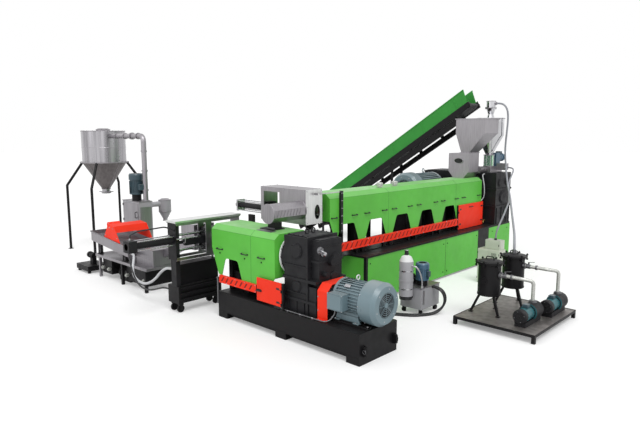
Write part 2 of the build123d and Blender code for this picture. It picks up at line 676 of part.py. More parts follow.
# Trolley under the second screen changer: a ribbed lower body and a narrower upper one, on casters
with BuildPart() as pelletizer_trolley:
    x0, x1 = TROLLEY_X
    y0, y1 = TROLLEY_Y
    slab((x0, x1 - 30), (y0, y1), (TROLLEY_LOW, TROLLEY_SHELF))
    slab((x0, x1 - 80), (y0 + 70, y1), (TROLLEY_SHELF - 1, TROLLEY_TOP))
    for z in (TROLLEY_LOW + 30, TROLLEY_LOW + 120, TROLLEY_LOW + 210):
        slab((x1 - 31, x1), (y0, y1), (z, z + 40))
    for y in (y0, y1 - 40):
        slab((x1 - 31, x1), (y, y + 40), (TROLLEY_LOW, TROLLEY_SHELF))
    for y in (y0 + 70, y1 - 70):
        for x in (x0 + 50, x1 - 70):
            slab((x - 36, x + 36), (y - 36, y + 36), (118, TROLLEY_LOW + 1))
            rod((x - 16, y, 60), (x + 16, y, 60), 60)
            for side in (-1, 1):
                slab((x + side * 24 - 4, x + side * 24 + 4), (y - 25, y + 25), (40, 119))
            rod((x - 27, y, 60), (x + 27, y, 60), 9)

# Pelletizing chamber on the die head, with the chute that leads to the bench
with BuildPart() as pelletizer_chamber:
    x0, x1 = CHAMBER_X
    rod((CHANGER_X - CHANGER_HALF, 0, SECOND_AXIS_Z), (x1 - 1, 0, SECOND_AXIS_Z), 120)
    slab((x0, x1), (-200, 200), (SECOND_AXIS_Z - 230, SECOND_AXIS_Z + 190))
    chute = [(x0 + 1, 1010), (x0 + 1, 880), (CATCH_BOX_X[1], 600), (CATCH_BOX_X[1], 735)]
    prism_along_y(chute, (-170, 60))

# Knife motor on the chamber's far wall
with BuildPart() as knife_motor:
    axis_z = SECOND_AXIS_Z + 60
    motor_shell((CHAMBER_X[0], 60, axis_z), (-1, 0, 0), 75, 190, 16, 8)
    cowl_shell((CHAMBER_X[0] - 189, 60, axis_z), (-1, 0, 0), 80, 80)

# Vibrating screen: a sloped stainless trough on four spring legs
with BuildPart() as screen_trough:
    x0, x1 = TROUGH_X
    y0, y1 = TROUGH_Y
    wall = TROUGH_SHEET
    fall = (TROUGH_HIGH - TROUGH_LOW) / (x1 - x0)
    floor_high, floor_low = TROUGH_HIGH - TROUGH_DEPTH, TROUGH_LOW - TROUGH_DEPTH
    prism_along_y([(x0, TROUGH_HIGH), (x1, TROUGH_LOW), (x1, floor_low), (x0, floor_high)], (y0, y1))
    cavity = [
        (x0 + wall, TROUGH_HIGH + 10),
        (x1 - wall, TROUGH_LOW + 10),
        (x1 - wall, floor_low + wall),
        (x0 + wall, floor_high + wall),
    ]
    prism_along_y(cavity, (y0 + wall, y1 - wall), mode=Mode.SUBTRACT)
    for x in (x0 + 230, x1 - 230):
        top = TROUGH_HIGH - TROUGH_DEPTH - (x - x0) * fall + wall / 2
        for y in (y0 + 70, y1 - 70):
            rod((x, y, BENCH_TOP), (x, y, top), 30)

# Red bridge across the screen: two side plates, a bent channel between them and the shaker motor
with BuildPart() as trough_hood:
    y0, y1 = TROUGH_Y
    fall = (TROUGH_HIGH - TROUGH_LOW) / (TROUGH_X[1] - TROUGH_X[0])
    rim = [(x, TROUGH_HIGH - (x - TROUGH_X[0]) * fall) for x in (-4165, -3545)]
    side = rim + [(-3750, 1075), (-3985, 1100)]
    for y in (y0, y1 - TROUGH_SHEET):
        prism_along_y(side, (y, y + TROUGH_SHEET))
    channel = [(-3985, 1100), (-3750, 1075), (-3700, 960), (-3708, 956), (-3756, 1067), (-3985, 1092)]
    prism_along_y(channel, (y0, y1))
    rod((-4075, y0 + 50, 1060), (-4075, y0 + 270, 1060), 62)
    slab((-4075, -3960), (y0 + 100, y0 + 220), (1070, 1092))

# Bench under the screen: tray, legs, tanks and the catch box for the pellets
with BuildPart() as screen_bench:
    x0, x1 = BENCH_X
    y0, y1 = BENCH_Y
    slab(BENCH_X, BENCH_Y, (BENCH_TOP - BENCH_TRAY, BENCH_TOP))
    for x in (x0 + 80, (x0 + x1) / 2, x1 - 130):
        for y in (y0 + 20, y1 - 70):
            slab((x, x + 50), (y, y + 50), (0, BENCH_TOP - 49))
    for left, right in BENCH_TANKS_X:
        slab((left, right), (y0 + 80, y1 - 80), (TANK_LOW, BENCH_TOP - 49))
    slab(CATCH_BOX_X, CATCH_BOX_Y, (BENCH_TOP - 1, CATCH_BOX_TOP))

# Water pumps: one on the floor under the bench and a small one on a low stand beside it
with BuildPart() as water_pumps:
    y = -285
    motor_shell((-3708, y, 150), (-1, 0, 0), 85, 200, 16, 8)
    cowl_shell((-3907, y, 150), (-1, 0, 0), 90, 90)
    rod((-3709, y, 150), (-3578, y, 150), 105)
    slab((-3968, -3568), (y - 60, y + 60), (0, 75))
    x0, x1 = BENCH_X[0] - 770, BENCH_X[0] - 240
    slab((x0, x1), (-600, -190), (50, 150))
    for x in (x0 + 20, x1 - 70):
        for y in (-580, -260):
            slab((x, x + 50), (y, y + 50), (0, 51))
    y = -400
    motor_shell((x1 - 120, y, 330), (-1, 0, 0), 60, 160, 16, 6)
    cowl_shell((x1 - 279, y, 330), (-1, 0, 0), 65, 70)
    slab((x1 - 240, x1 - 120), (y - 40, y + 40), (149, 280))

with BuildPart() as dryer_cabinet:
    slab(DRYER_X, DRYER_Y, (60, DRYER_TOP))
    for x in (DRYER_X[0], DRYER_X[1] - 60):
        for y in (DRYER_Y[0], DRYER_Y[1] - 60):
            slab((x, x + 60), (y, y + 60), (0, 61))

with BuildPart() as dryer_motor:
    x, y = DRYER_MOTOR
    rod((x, y, DRYER_TOP), (x, y, DRYER_TOP + 140), 95)
    motor_shell((x, y, DRYER_TOP + 139), (0, 0, 1), 140, 300, 24, 14)
    cowl_shell((x, y, DRYER_TOP + 438), (0, 0, 1), 145, 130)

# Cyclone behind the dryer, hung from the dryer's outlet duct
with BuildPart() as dryer_cyclone:
    x, y = PIPE_X + 40, CYCLONE_Y
    cone = [(0, 960), (45, 960), (45, 1000)]
    turned(x, y, cone + [(CYCLONE_RADIUS, 1160), (CYCLONE_RADIUS, 1400), (0, 1400)])
    rod((x, DRYER_Y[1], 1330), (x, y - 100, 1330), 55)

# Conveying pipe: up from the dryer, then level towards the silo's axis
PIPE_HEADING = Vector(SILO_X - PIPE_X, SILO_Y - PIPE_Y, 0)
SILO_WALL_REACH = PIPE_HEADING.length - SILO_RADIUS


def pipe_point(distance):
    """The point on the level run at a distance from the pipe's corner."""
    return tuple(Vector(PIPE_X, PIPE_Y, PIPE_Z) + PIPE_HEADING.normalized() * distance)


with BuildPart() as conveying_pipe:
    with BuildLine() as route:
        inside_silo = pipe_point(SILO_WALL_REACH + 120)
        FilletPolyline((PIPE_X, PIPE_Y, DRYER_TOP), pipe_point(0), inside_silo, radius=120)
    with BuildSketch(Plane(origin=route.line @ 0, z_dir=route.line % 0)) as section:
        Circle(PIPE_RADIUS)
    sweep(sections=section.sketch, path=route.line)
    rod(pipe_point(610), pipe_point(670), PIPE_RADIUS + 22)
    rod((PIPE_X, PIPE_Y, DRYER_TOP), (PIPE_X, PIPE_Y, DRYER_TOP + 14), PIPE_RADIUS + 25)

# Silo: a stainless shell with a cone and spout
with BuildPart() as silo_shell:
    outer = [
        (SILO_RADIUS, SILO_TOP),
        (SILO_RADIUS, SILO_CONE_TOP),
        (SILO_SPOUT_RADIUS, SILO_SPOUT_TOP),
        (SILO_SPOUT_RADIUS, SILO_SPOUT_LOW),
    ]
    inner = [(radius - SILO_SHEET, z) for radius, z in reversed(outer)]
    turned(SILO_X, SILO_Y, outer + inner)
    rod(pipe_point(SILO_WALL_REACH - 40), pipe_point(SILO_WALL_REACH + 130), PIPE_RADIUS + FIT, Mode.SUBTRACT)

with BuildPart() as silo_lid:
    rod((SILO_X, SILO_Y, SILO_TOP), (SILO_X, SILO_Y, SILO_TOP + 8), SILO_RADIUS + 8)
    rod((SILO_X, SILO_Y, SILO_TOP + 7), (SILO_X, SILO_Y, SILO_TOP + 38), 160)

# Silo legs: four bent tubes under a ring flange
with BuildPart() as silo_legs:
    ring_radius = SILO_RADIUS + 60
    rod((SILO_X, SILO_Y, SILO_CONE_TOP + 5), (SILO_X, SILO_Y, SILO_CONE_TOP + 25), ring_radius)
    ring_hole = SILO_RADIUS + FIT
    rod((SILO_X, SILO_Y, SILO_CONE_TOP), (SILO_X, SILO_Y, SILO_CONE_TOP + 30), ring_hole, Mode.SUBTRACT)
    shoulder = (SILO_RADIUS + 32) / math.sqrt(2)
    for side_x in (-1, 1):
        for side_y in (-1, 1):
            outer_x = SILO_X + side_x * SILO_LEG_OFFSET
            outer_y = SILO_Y + side_y * SILO_LEG_OFFSET
            knee = (outer_x, outer_y, SILO_KNEE_Z)
            top = (SILO_X + side_x * shoulder, SILO_Y + side_y * shoulder, SILO_CONE_TOP + 10)
            rod((outer_x, outer_y, 0), knee, SILO_LEG_RADIUS)
            rod(knee, top, SILO_LEG_RADIUS)
            with Locations(knee):
                Sphere(SILO_LEG_RADIUS)
            slab((outer_x - 50, outer_x + 50), (outer_y - 50, outer_y + 50), (0, 8))

# First extruder base: a black frame with a ledge for the barrel and gearbox, and the motor's stand
with BuildPart() as first_base:
    half = FIRST_BASE_WIDTH / 2
    body = half - PANEL_SHEET
    y_span = (FIRST_BASE_START + PANEL_SHEET, FIRST_BASE_END - PANEL_SHEET)
    slab((-body, body), y_span, (60, FIRST_BASE_TOP - 30))
    ledge = (FIRST_BASE_TOP - 31, FIRST_BASE_TOP)
    slab((-half - 10, half + 10), (FIRST_BASE_START - 10, FIRST_BASE_BREAK), ledge)
    slab((-body, body), (FIRST_BASE_BREAK - 1, y_span[1]), ledge)
    for x in (-half, half - 50):
        slab((x, x + 50), (FIRST_BASE_START, FIRST_BASE_START + 50), (20, FIRST_BASE_TOP - 30))
        slab((x, x + 50), (FIRST_PANEL_END, FIRST_BASE_BREAK), (20, FIRST_BASE_TOP - 30))
    for x in (-body, body - 50):
        for y in (FIRST_BASE_START + 100, 3400, FIRST_BASE_END - 250):
            slab((x, x + 50), (y, y + 150), (0, 61))
    post_y = FIRST_DOOR_START - HINGE_OFFSET
    front = FIRST_COVER_WIDTH / 2 + GUARD_GAP
    slab((front - 30, front), (post_y - 16, post_y), (FIRST_BASE_TOP - 1, FIRST_DOOR_HIGH))
    axis_x = front + HINGE_OFFSET
    axis_y = FIRST_DOOR_START - 4
    for z in (FIRST_DOOR_LOW + 90, FIRST_DOOR_HIGH - 130):
        rod((axis_x, axis_y, z - HINGE_LENGTH), (axis_x, axis_y, z - 1), HINGE_KNUCKLE)
        rod((axis_x, axis_y, z - 2), (axis_x, axis_y, z + HINGE_LENGTH), HINGE_PIN)
        slab((front - 1, axis_x), (post_y - 16, axis_y), (z - HINGE_LENGTH, z - 1))
    stand = (FIRST_MOTOR_X - 300, FIRST_MOTOR_X + 300)
    slab(stand, (FIRST_COWL_START + FIRST_COWL_LENGTH, FIRST_MOTOR_END - 50), (0, FIRST_STAND_TOP))

# Green panels on the first base, in three bays, with the drive end's panels
with BuildPart() as first_base_panels:
    half = FIRST_BASE_WIDTH / 2
    bays = 3
    start = FIRST_BASE_START + 50
    bay = (FIRST_PANEL_END - start) / bays
    for x in (-half, half - PANEL_SHEET):
        for index in range(bays):
            y = start + index * bay
            slab((x, x + PANEL_SHEET), (y + 1, y + bay - 1), (40, FIRST_BASE_TOP - 31))
        slab((x, x + PANEL_SHEET), (FIRST_BASE_BREAK, FIRST_BASE_END), (40, FIRST_BASE_TOP - 40))
    near_panel = (FIRST_BASE_START, FIRST_BASE_START + PANEL_SHEET)
    slab((-half + 50, half - 50), near_panel, (40, FIRST_BASE_TOP - 31))
    end_panel = (FIRST_BASE_END - PANEL_SHEET, FIRST_BASE_END)
    slab((-half + PANEL_SHEET, half - PANEL_SHEET), end_panel, (40, FIRST_BASE_TOP - 40))

# First gearbox: a tall casting across the base, with a bearing nose
with BuildPart() as first_gearbox:
    x_span = (FIRST_GEARBOX_BACK, FIRST_GEARBOX_FRONT)
    y_span = (FIRST_GEARBOX_START, FIRST_GEARBOX_END)
    slab(x_span, y_span, (FIRST_BASE_TOP, FIRST_GEARBOX_TOP))
    reach = FLANGE_REACH
    for z in (1180, 1560):
        slab((x_span[0] - reach, x_span[1] + reach), (y_span[0] - reach, y_span[1] + reach), (z, z + 40))
    nose = (0, FIRST_COVER_END + 20, FIRST_AXIS_Z)
    rod(nose, (0, FIRST_GEARBOX_START + 1, FIRST_AXIS_Z), FIRST_NOSE_RADIUS)
    slab((FIRST_GEARBOX_BACK, -FIRST_BASE_WIDTH / 2), y_span, (0, FIRST_BASE_TOP + 1))

# First motor: body, feet, bell housing to the gearbox and lifting eye
with BuildPart() as first_motor:
    body_length = FIRST_MOTOR_END - FIRST_COWL_START - FIRST_COWL_LENGTH
    axis = (FIRST_MOTOR_X, FIRST_MOTOR_END, FIRST_AXIS_Z)
    motor_shell(axis, (0, -1, 0), FIRST_MOTOR_RADIUS, body_length, 36, 28)
    for side in (-1, 1):
        foot = (FIRST_MOTOR_X + side * 200 - 40, FIRST_MOTOR_X + side * 200 + 40)
        slab(foot, (FIRST_MOTOR_END - body_length + 60, FIRST_MOTOR_END - 60), (FIRST_STAND_TOP, 1420))
    bell_end = FIRST_GEARBOX_START - FLANGE_REACH
    rod((FIRST_MOTOR_X, FIRST_MOTOR_END - 1, FIRST_AXIS_Z), (FIRST_MOTOR_X, bell_end, FIRST_AXIS_Z), 170)
    eyebolt(FIRST_MOTOR_X, FIRST_MOTOR_END - 380, FIRST_AXIS_Z + FIRST_MOTOR_RADIUS, 40, 10)

with BuildPart() as first_motor_cowl:
    start = (FIRST_MOTOR_X, FIRST_COWL_START + FIRST_COWL_LENGTH, FIRST_AXIS_Z)
    cowl_shell(start, (0, -1, 0), FIRST_MOTOR_RADIUS + 30, FIRST_COWL_LENGTH)

# First barrel: tube, heater bands, feed throat and support feet on the base
with BuildPart() as first_barrel:
    tube_start = FIRST_CHANGER_AXIS_Y + 120
    rod((0, tube_start, FIRST_AXIS_Z), (0, FIRST_COVER_END + 20, FIRST_AXIS_Z), FIRST_BARREL_RADIUS)
    for index in range(13):
        y = FIRST_COVER_START + 80 + index * 330
        rod((0, y, FIRST_AXIS_Z), (0, y + 280, FIRST_AXIS_Z), FIRST_HEATER_RADIUS)
    throat = (FEED_BOX_START + 60, FEED_BOX_END - 60)
    slab((-100, 100), throat, (FIRST_AXIS_Z - 80, FIRST_COVER_TOP - COVER_SHEET))
    for y in (1900, 3300, 4700):
        slab((-120, 120), (y, y + 60), (FIRST_BASE_TOP, FIRST_AXIS_Z - 60))

# First barrel cover: a long chamfered hood with a row of notched windows
with BuildPart() as first_barrel_cover:
    half = FIRST_COVER_WIDTH / 2
    start, end = FIRST_COVER_START, FIRST_COVER_END
    low = FIRST_COVER_LOW
    outside = hood_outline(half, low, FIRST_COVER_SHOULDER, FIRST_COVER_TOP, COVER_TOP_INSET)
    inner_top = FIRST_COVER_TOP - COVER_SHEET
    inside = hood_outline(half - COVER_SHEET, low - 1, FIRST_COVER_SHOULDER - 3, inner_top, COVER_TOP_INSET)
    prism_along_y(outside, (start, end))
    prism_along_y(inside, (start + COVER_SHEET, end - COVER_SHEET), mode=Mode.SUBTRACT)
    taper = [(start, low - 1), (start + 190, low - 1), (start, 1420)]
    windows = [trapezoid(y, low - 1, FIRST_WINDOW_TOP, 660, 330) for y in FIRST_WINDOW_CENTRES]
    prism_along_x(taper, (-half - 1, half + 1), mode=Mode.SUBTRACT)
    for outline in windows:
        prism_along_x(outline, (-half - 1, half + 1), mode=Mode.SUBTRACT, top_corner=WINDOW_CORNER)
    hole = FIRST_HEATER_RADIUS + 25
    for y in (start, end):
        rod((0, y - 20, FIRST_AXIS_Z), (0, y + 20, FIRST_AXIS_Z), hole, Mode.SUBTRACT)

# First side guard: a folded strip with diagonal slots, hung on the cover's side
with BuildPart() as first_side_guard:
    front = FIRST_COVER_WIDTH / 2 + GUARD_GAP
    span = (FIRST_SIDE_GUARD_START, FIRST_SIDE_GUARD_END)
    low, high = FIRST_SIDE_GUARD_LOW, FIRST_SIDE_GUARD_HIGH
    slab((front - GUARD_SHEET, front), span, (low, high))
    slab((FIRST_COVER_WIDTH / 2, front), span, (high - GUARD_SHEET, high))
    for index in range(31):
        slot = slanted_slot(span[0] + 35 + index * 121, low + 25, high - 25, 30, 60)
        prism_along_x(slot, (front - GUARD_SHEET - 1, front + 1), mode=Mode.SUBTRACT)

# First guard door: a folded panel hinged at its far end from the feed box
with BuildPart() as first_guard_door:
    front = FIRST_COVER_WIDTH / 2 + GUARD_GAP
    slab((front - GUARD_SHEET, front), (FIRST_DOOR_START, FIRST_DOOR_END), (FIRST_DOOR_LOW, FIRST_DOOR_HIGH))
    axis_x = front + HINGE_OFFSET
    axis_y = FIRST_DOOR_START - 4
    for z in (FIRST_DOOR_LOW + 90, FIRST_DOOR_HIGH - 130):
        rod((axis_x, axis_y, z), (axis_x, axis_y, z + HINGE_LENGTH), HINGE_KNUCKLE)
        slab((front - 1, axis_x), (axis_y, axis_y + HINGE_LEAF), (z, z + HINGE_LENGTH))
        bore = HINGE_PIN + HINGE_CLEARANCE
        rod((axis_x, axis_y, z - 1), (axis_x, axis_y, z + HINGE_LENGTH + 1), bore, Mode.SUBTRACT)

# First screen changer: block on the barrel's end, slide plate, hydraulic cylinder along X and a post
with BuildPart() as first_screen_changer:
    axis_y = FIRST_CHANGER_AXIS_Y
    slab((-190, 190), (axis_y - 120, axis_y + 120), (FIRST_AXIS_Z - 160, FIRST_AXIS_Z + 180))
    slab((-700, 189), (axis_y - 40, axis_y + 40), (FIRST_AXIS_Z - 70, FIRST_AXIS_Z + 70))
    x0 = FIRST_CHANGER_X[0]
    slab((x0 - 40, -690), (axis_y - 90, axis_y + 90), (FIRST_AXIS_Z - 120, FIRST_AXIS_Z + 90))
    rod((-1590, axis_y, FIRST_CYLINDER_Z), (x0 - 39, axis_y, FIRST_CYLINDER_Z), 50)
    half = FIRST_COVER_WIDTH / 2
    slab((half, half + 45), (1205, 1255), (1223, 1895))

# Guard over the first screen changer: a box open towards the barrel and the ground
with BuildPart() as first_changer_guard:
    x0, x1 = FIRST_CHANGER_X
    y0, y1 = FIRST_CHANGER_Y
    low, top = FIRST_CHANGER_LOW, FIRST_CHANGER_TOP
    slab((x0, x1), (y0, y1), (low, top))
    slab((x0 + 8, x1 - 8), (y0 + 8, y1 + 1), (low - 1, top - 8), mode=Mode.SUBTRACT)
    notch = (FIRST_CHANGER_AXIS_Y - 90 - FIT, FIRST_CHANGER_AXIS_Y + 90 + FIT)
    slab((x0 - 1, x0 + 9), notch, (low - 1, FIRST_AXIS_Z + 90 + FIT), mode=Mode.SUBTRACT)
    slab((-189, 189), (y0 + 7, FIRST_CHANGER_AXIS_Y - 120), (FIRST_AXIS_Z + 60, FIRST_AXIS_Z + 100))
    slab((x0 + 70, x0 + 440), (y0 - 1, y0 + 9), (1620, 1880), mode=Mode.SUBTRACT)
    with BuildSketch(Plane(origin=(x1 + 1, 760, 1600), x_dir=(0, 1, 0), z_dir=(1, 0, 0))) as porthole:
        Ellipse(50, 105)
    extrude(to_extrude=porthole.sketch, amount=-12, mode=Mode.SUBTRACT)
    rod_x = FIRST_COVER_WIDTH / 2 + 22
    slab((x1 - 1, rod_x + 8), (FIRST_CHANGER_AXIS_Y, FIRST_CHANGER_AXIS_Y + 30), (1865, 1895))
    rod((rod_x, FIRST_CHANGER_AXIS_Y + 5, 1880), (rod_x, 1204, 1880), 8)

# Feed box on the barrel cover: a cut-cornered end plate and body
with BuildPart() as feed_box:
    half = FEED_BOX_WIDTH / 2
    low, high = FIRST_COVER_TOP, FEED_BOX_HIGH
    plate = [(-half, high), (half, high), (half, low + 150)]
    plate += [(half - 120, low), (120 - half, low), (-half, low + 150)]
    prism_along_y(plate, (FEED_BOX_START, FEED_BOX_START + 10))
    width = half - 40
    body = [(-width, high), (width, high), (width, low + 120)]
    body += [(width - 90, low), (90 - width, low), (-width, low + 120)]
    prism_along_y(body, (FEED_BOX_START + 9, FEED_BOX_END))

# Main hopper: an open sheet box that tapers down to the feed box
with BuildPart() as main_hopper:
    levels = (MAIN_HOPPER_TOP, MAIN_HOPPER_SHOULDER, FEED_BOX_HIGH)
    outlines = []
    for wide, narrow in ((MAIN_HOPPER_X, MAIN_HOPPER_OUTLET_X), (MAIN_HOPPER_Y, MAIN_HOPPER_OUTLET_Y)):
        left = list(zip((wide[0], wide[0], narrow[0]), levels))
        right = list(zip((wide[1], wide[1], narrow[1]), levels))
        outlines.append(left + right[::-1])
    prism_along_y(outlines[0], MAIN_HOPPER_Y)
    prism_along_x(outlines[1], MAIN_HOPPER_X, mode=Mode.INTERSECT)
    ends = faces().sort_by(Axis.Z)
    offset(amount=-HOPPER_SHEET, openings=[ends[0], ends[-1]])

# Side hopper: a turned shell with a cone
with BuildPart() as side_hopper:
    outline = [
        (SIDE_HOPPER_RADIUS, SIDE_HOPPER_TOP),
        (SIDE_HOPPER_RADIUS, SIDE_HOPPER_SHOULDER),
        (SIDE_OUTLET_RADIUS, SIDE_HOPPER_OUTLET),
    ]
    inner = [(radius - HOPPER_SHEET, z) for radius, z in reversed(outline)]
    turned(SIDE_HOPPER_X, SIDE_HOPPER_Y, outline + inner)

# Side feeder: sight vessel, feeder body on the gearbox and screw tube to the feed box
with BuildPart() as side_feeder:
    x, y = SIDE_HOPPER_X, SIDE_HOPPER_Y
    rod((x, y, FEEDER_TOP - 1), (x, y, SIDE_HOPPER_OUTLET), SIGHT_RADIUS)
    slab((x - 130, x + 130), (y - 170, y + 400), (FIRST_GEARBOX_TOP, FEEDER_TOP))
    rod((x, y - 169, 2015), (x, FEED_BOX_END + 30, 2015), 55)
    slab((x - 100, x + 30), (FEED_BOX_END, FEED_BOX_END + 31), (1940, 2090))
    slab((x + 129, FIRST_GEARBOX_FRONT + 10), (y + 130, y + 280), (1990, 2140))

with BuildPart() as feeder_gear_motor:
    x, y = SIDE_HOPPER_X, SIDE_HOPPER_Y + 260
    slab((x - 90, x + 90), (y - 90, y + 110), (FEEDER_TOP, FEEDER_TOP + 300))
    motor_shell((x, y + 109, FEEDER_TOP + 190), (0, 1, 0), 90, 190, 16, 9)
    cowl_shell((x, y + 298, FEEDER_TOP + 190), (0, 1, 0), 95, 80)

# Vacuum loader on the side hopper: lid ring, cone body, separator head and hose outlet
with BuildPart() as vacuum_loader:
    x, y = SIDE_HOPPER_X, SIDE_HOPPER_Y
    top = SIDE_HOPPER_TOP
    rod((x, y, top), (x, y, top + 10), SIDE_HOPPER_RADIUS + 10)
    turned(x, y, [(0, top + 9), (90, top + 9), (60, top + 90), (LOADER_RADIUS, top + 230), (0, top + 230)])
    rod((x, y, top + 229), (x, y, top + 380), LOADER_RADIUS)
    rod((x, y, 3455), (x + LOADER_OUTLET, y, 3455), 28)

# Conveyor: side guards, belt, frame with legs
SLOPE = math.radians(CONVEYOR_SLOPE)
CONVEYOR_LENGTH = (CONVEYOR_TOP_X - CONVEYOR_TAIL_X) / math.cos(SLOPE)


def sloped(distance, depth):
    """The (x, z) point at a distance down the slope from the top and a depth under the guard's edge."""
    x = CONVEYOR_TOP_X - distance * math.cos(SLOPE)
    z = CONVEYOR_TOP_Z - distance * math.sin(SLOPE)
    return (x + depth * math.sin(SLOPE), z - depth * math.cos(SLOPE))


def sloped_box(start, end, high, low):
    """Outline of a box between two distances along the conveyor and two depths."""
    return [sloped(start, high), sloped(end, high), sloped(end, low), sloped(start, low)]


with BuildPart() as conveyor_guards:
    depth = CONVEYOR_GUARD_HEIGHT
    outline = [sloped(0, 0), sloped(CONVEYOR_LENGTH, 0), sloped(CONVEYOR_LENGTH, depth), sloped(60, depth)]
    for y in CONVEYOR_Y:
        prism_along_y(outline, (y - 3, y + 3))

# Belt: one fixed loop on its two drums
with BuildPart() as conveyor_belt:
    y_span = (CONVEYOR_Y[0] + 40, CONVEYOR_Y[1] - 40)
    shaft_span = (CONVEYOR_Y[0] + 25, CONVEYOR_Y[1] - 25)
    middle = CONVEYOR_GUARD_HEIGHT + 65
    radius = CONVEYOR_DRUM_RADIUS
    ends = (80, CONVEYOR_LENGTH - 80)
    prism_along_y(sloped_box(ends[0], ends[1], middle - radius, middle + radius), y_span)
    for distance in ends:
        x, z = sloped(distance, middle)
        rod((x, y_span[0], z), (x, y_span[1], z), radius)
        rod((x, shaft_span[0], z), (x, shaft_span[1], z), 20)

with BuildPart() as conveyor_frame:
    high = CONVEYOR_GUARD_HEIGHT
    truss_low = high + CONVEYOR_TRUSS
    for y in CONVEYOR_Y:
        prism_along_y(sloped_box(20, CONVEYOR_LENGTH, high, high + CONVEYOR_BEAM), (y - 25, y + 25))
        prism_along_y(sloped_box(420, CONVEYOR_LENGTH - 300, truss_low - 50, truss_low), (y - 20, y + 20))
        for index in range(9):
            start = 440 + index * (CONVEYOR_LENGTH - 800) / 8
            post = sloped_box(start, start + 40, high + CONVEYOR_BEAM - 1, truss_low - 49)
            prism_along_y(post, (y - 18, y + 18))
    for leg_x in CONVEYOR_LEGS_X:
        leg = [(leg_x - 25, 0), (leg_x + 25, 0)]
        for x in (leg_x + 25, leg_x - 25):
            distance = (sloped(0, truss_low)[0] - x) / math.cos(SLOPE)
            leg.append((x, sloped(distance, truss_low)[1] + 2))
        for y in CONVEYOR_Y:
            prism_along_y(leg, (y - 20, y + 20))
        slab((leg_x - 20, leg_x + 20), (CONVEYOR_Y[0], CONVEYOR_Y[1]), (300, 340))

# Hydraulic unit: tank on casters, with the pump's bell housing and motor on its lid
with BuildPart() as hydraulic_tank:
    slab(TANK_X, TANK_Y, (90, TANK_TOP))
    for x in (TANK_X[0] + 50, TANK_X[1] - 50):
        for y in (TANK_Y[0] + 50, TANK_Y[1] - 50):
            rod((x, y, 0), (x, y, 91), 25)
    x, y = TANK_X[1] - 130, TANK_Y[0] + 210
    rod((x, y, TANK_TOP - 1), (x, y, TANK_TOP + 90), 85)
    motor_shell((x, y, TANK_TOP + 89), (0, 0, 1), 105, 180, 20, 9)
    cowl_shell((x, y, TANK_TOP + 268), (0, 0, 1), 108, 90)

# Accumulator: a bottle with a domed shoulder, held to the tank's near face by a cup and bracket
with BuildPart() as accumulator:
    x, y = ACCUMULATOR
    radius = ACCUMULATOR_RADIUS
    bottle = [(0, 290), (70, 290), (radius, 315), (radius, 855), (75, 925), (30, 950), (30, 1025), (0, 1025)]
    turned(x, y, bottle)
    rod((x, y, 262), (x, y, 300), radius - 8)
    rod((x, y, 545), (x, y, 570), radius + 6)
    slab((x - 55, x + 55), (y, TANK_Y[0]), (262, 275))
    slab((x - 55, x + 55), (TANK_Y[0] - 12, TANK_Y[0]), (262, 400))
    slab((x - 30, x + 30), (y, TANK_Y[0]), (385, 410))

# Control cabinet beside the first extruder's base
with BuildPart() as control_cabinet:
    slab(CABINET_X, CABINET_Y, (0, CABINET_TOP))
    slab(UPPER_BOX_X, UPPER_BOX_Y, (CABINET_TOP - 1, UPPER_BOX_TOP))

with BuildPart() as vacuum_platform:
    slab(PLATFORM_X, PLATFORM_Y, (PLATFORM_TOP - PLATFORM_THICKNESS, PLATFORM_TOP))
    for x in (PLATFORM_X[0], PLATFORM_X[1] - 50):
        for y in (PLATFORM_Y[0], PLATFORM_Y[1] - 50):
            slab((x, x + 50), (y, y + 50), (0, PLATFORM_TOP - PLATFORM_THICKNESS + 1))

# Vacuum vessels: two drums on three legs each, with clamped lids
with BuildPart() as vacuum_vessels:
    for x, y in VESSEL_CENTRES:
        rod((x, y, VESSEL_LOW), (x, y, VESSEL_TOP), VESSEL_RADIUS)
        rod((x, y, VESSEL_TOP - 1), (x, y, VESSEL_TOP + VESSEL_LID), VESSEL_RADIUS + 26)
        for index in range(3):
            angle = math.radians(90 + index * 120)
            foot = (x + 250 * math.cos(angle), y + 250 * math.sin(angle), PLATFORM_TOP + 14)
            top = (x + 120 * math.cos(angle), y + 120 * math.sin(angle), VESSEL_LOW + 20)
            bar(foot, top, 30)
            slab((foot[0] - 30, foot[0] + 30), (foot[1] - 30, foot[1] + 30), (PLATFORM_TOP, PLATFORM_TOP + 8))

# Vacuum pumps: a finned motor and a pump drum each, on a foot plate
with BuildPart() as vacuum_pumps:
    for x, y in PUMP_AXES:
        slab((x - 80, x + 80), (y + 40, y + 560), (PLATFORM_TOP, PUMP_AXIS_Z - 80))
        motor_shell((x, y + 320, PUMP_AXIS_Z), (0, -1, 0), 95, 240, 16, 8)
        cowl_shell((x, y + 81, PUMP_AXIS_Z), (0, -1, 0), 100, 80)
        rod((x, y + 319, PUMP_AXIS_Z), (x, y + 560, PUMP_AXIS_Z), 120)

# Galvanised pipes from the vessels down to the pumps
with BuildPart() as vacuum_pipes:
    pipe_radius = 26
    for vessel, pump, z in zip(VESSEL_CENTRES, PUMP_AXES, (720, 760)):
        port_y = pump[1] + 440
        corners = [
            (vessel[0] + VESSEL_RADIUS + FIT, vessel[1], z),
            (pump[0] - 130, vessel[1], z),
            (pump[0], port_y, z - 30),
            (pump[0], port_y, PUMP_AXIS_Z + 120 + FIT),
        ]
        with BuildLine() as route:
            FilletPolyline(*corners, radius=60)
        with BuildSketch(Plane(origin=route.line @ 0, z_dir=route.line % 0)) as section:
            Circle(pipe_radius)
        sweep(sections=section.sketch, path=route.line)

# Hoses
with BuildPart() as loader_hose:
    hose("loader_hose", LOADER_HOSE, LOADER_HOSE_RADIUS)

with BuildPart() as feeder_hose:
    hose("feeder_hose", FEEDER_HOSE, FEEDER_HOSE_RADIUS)

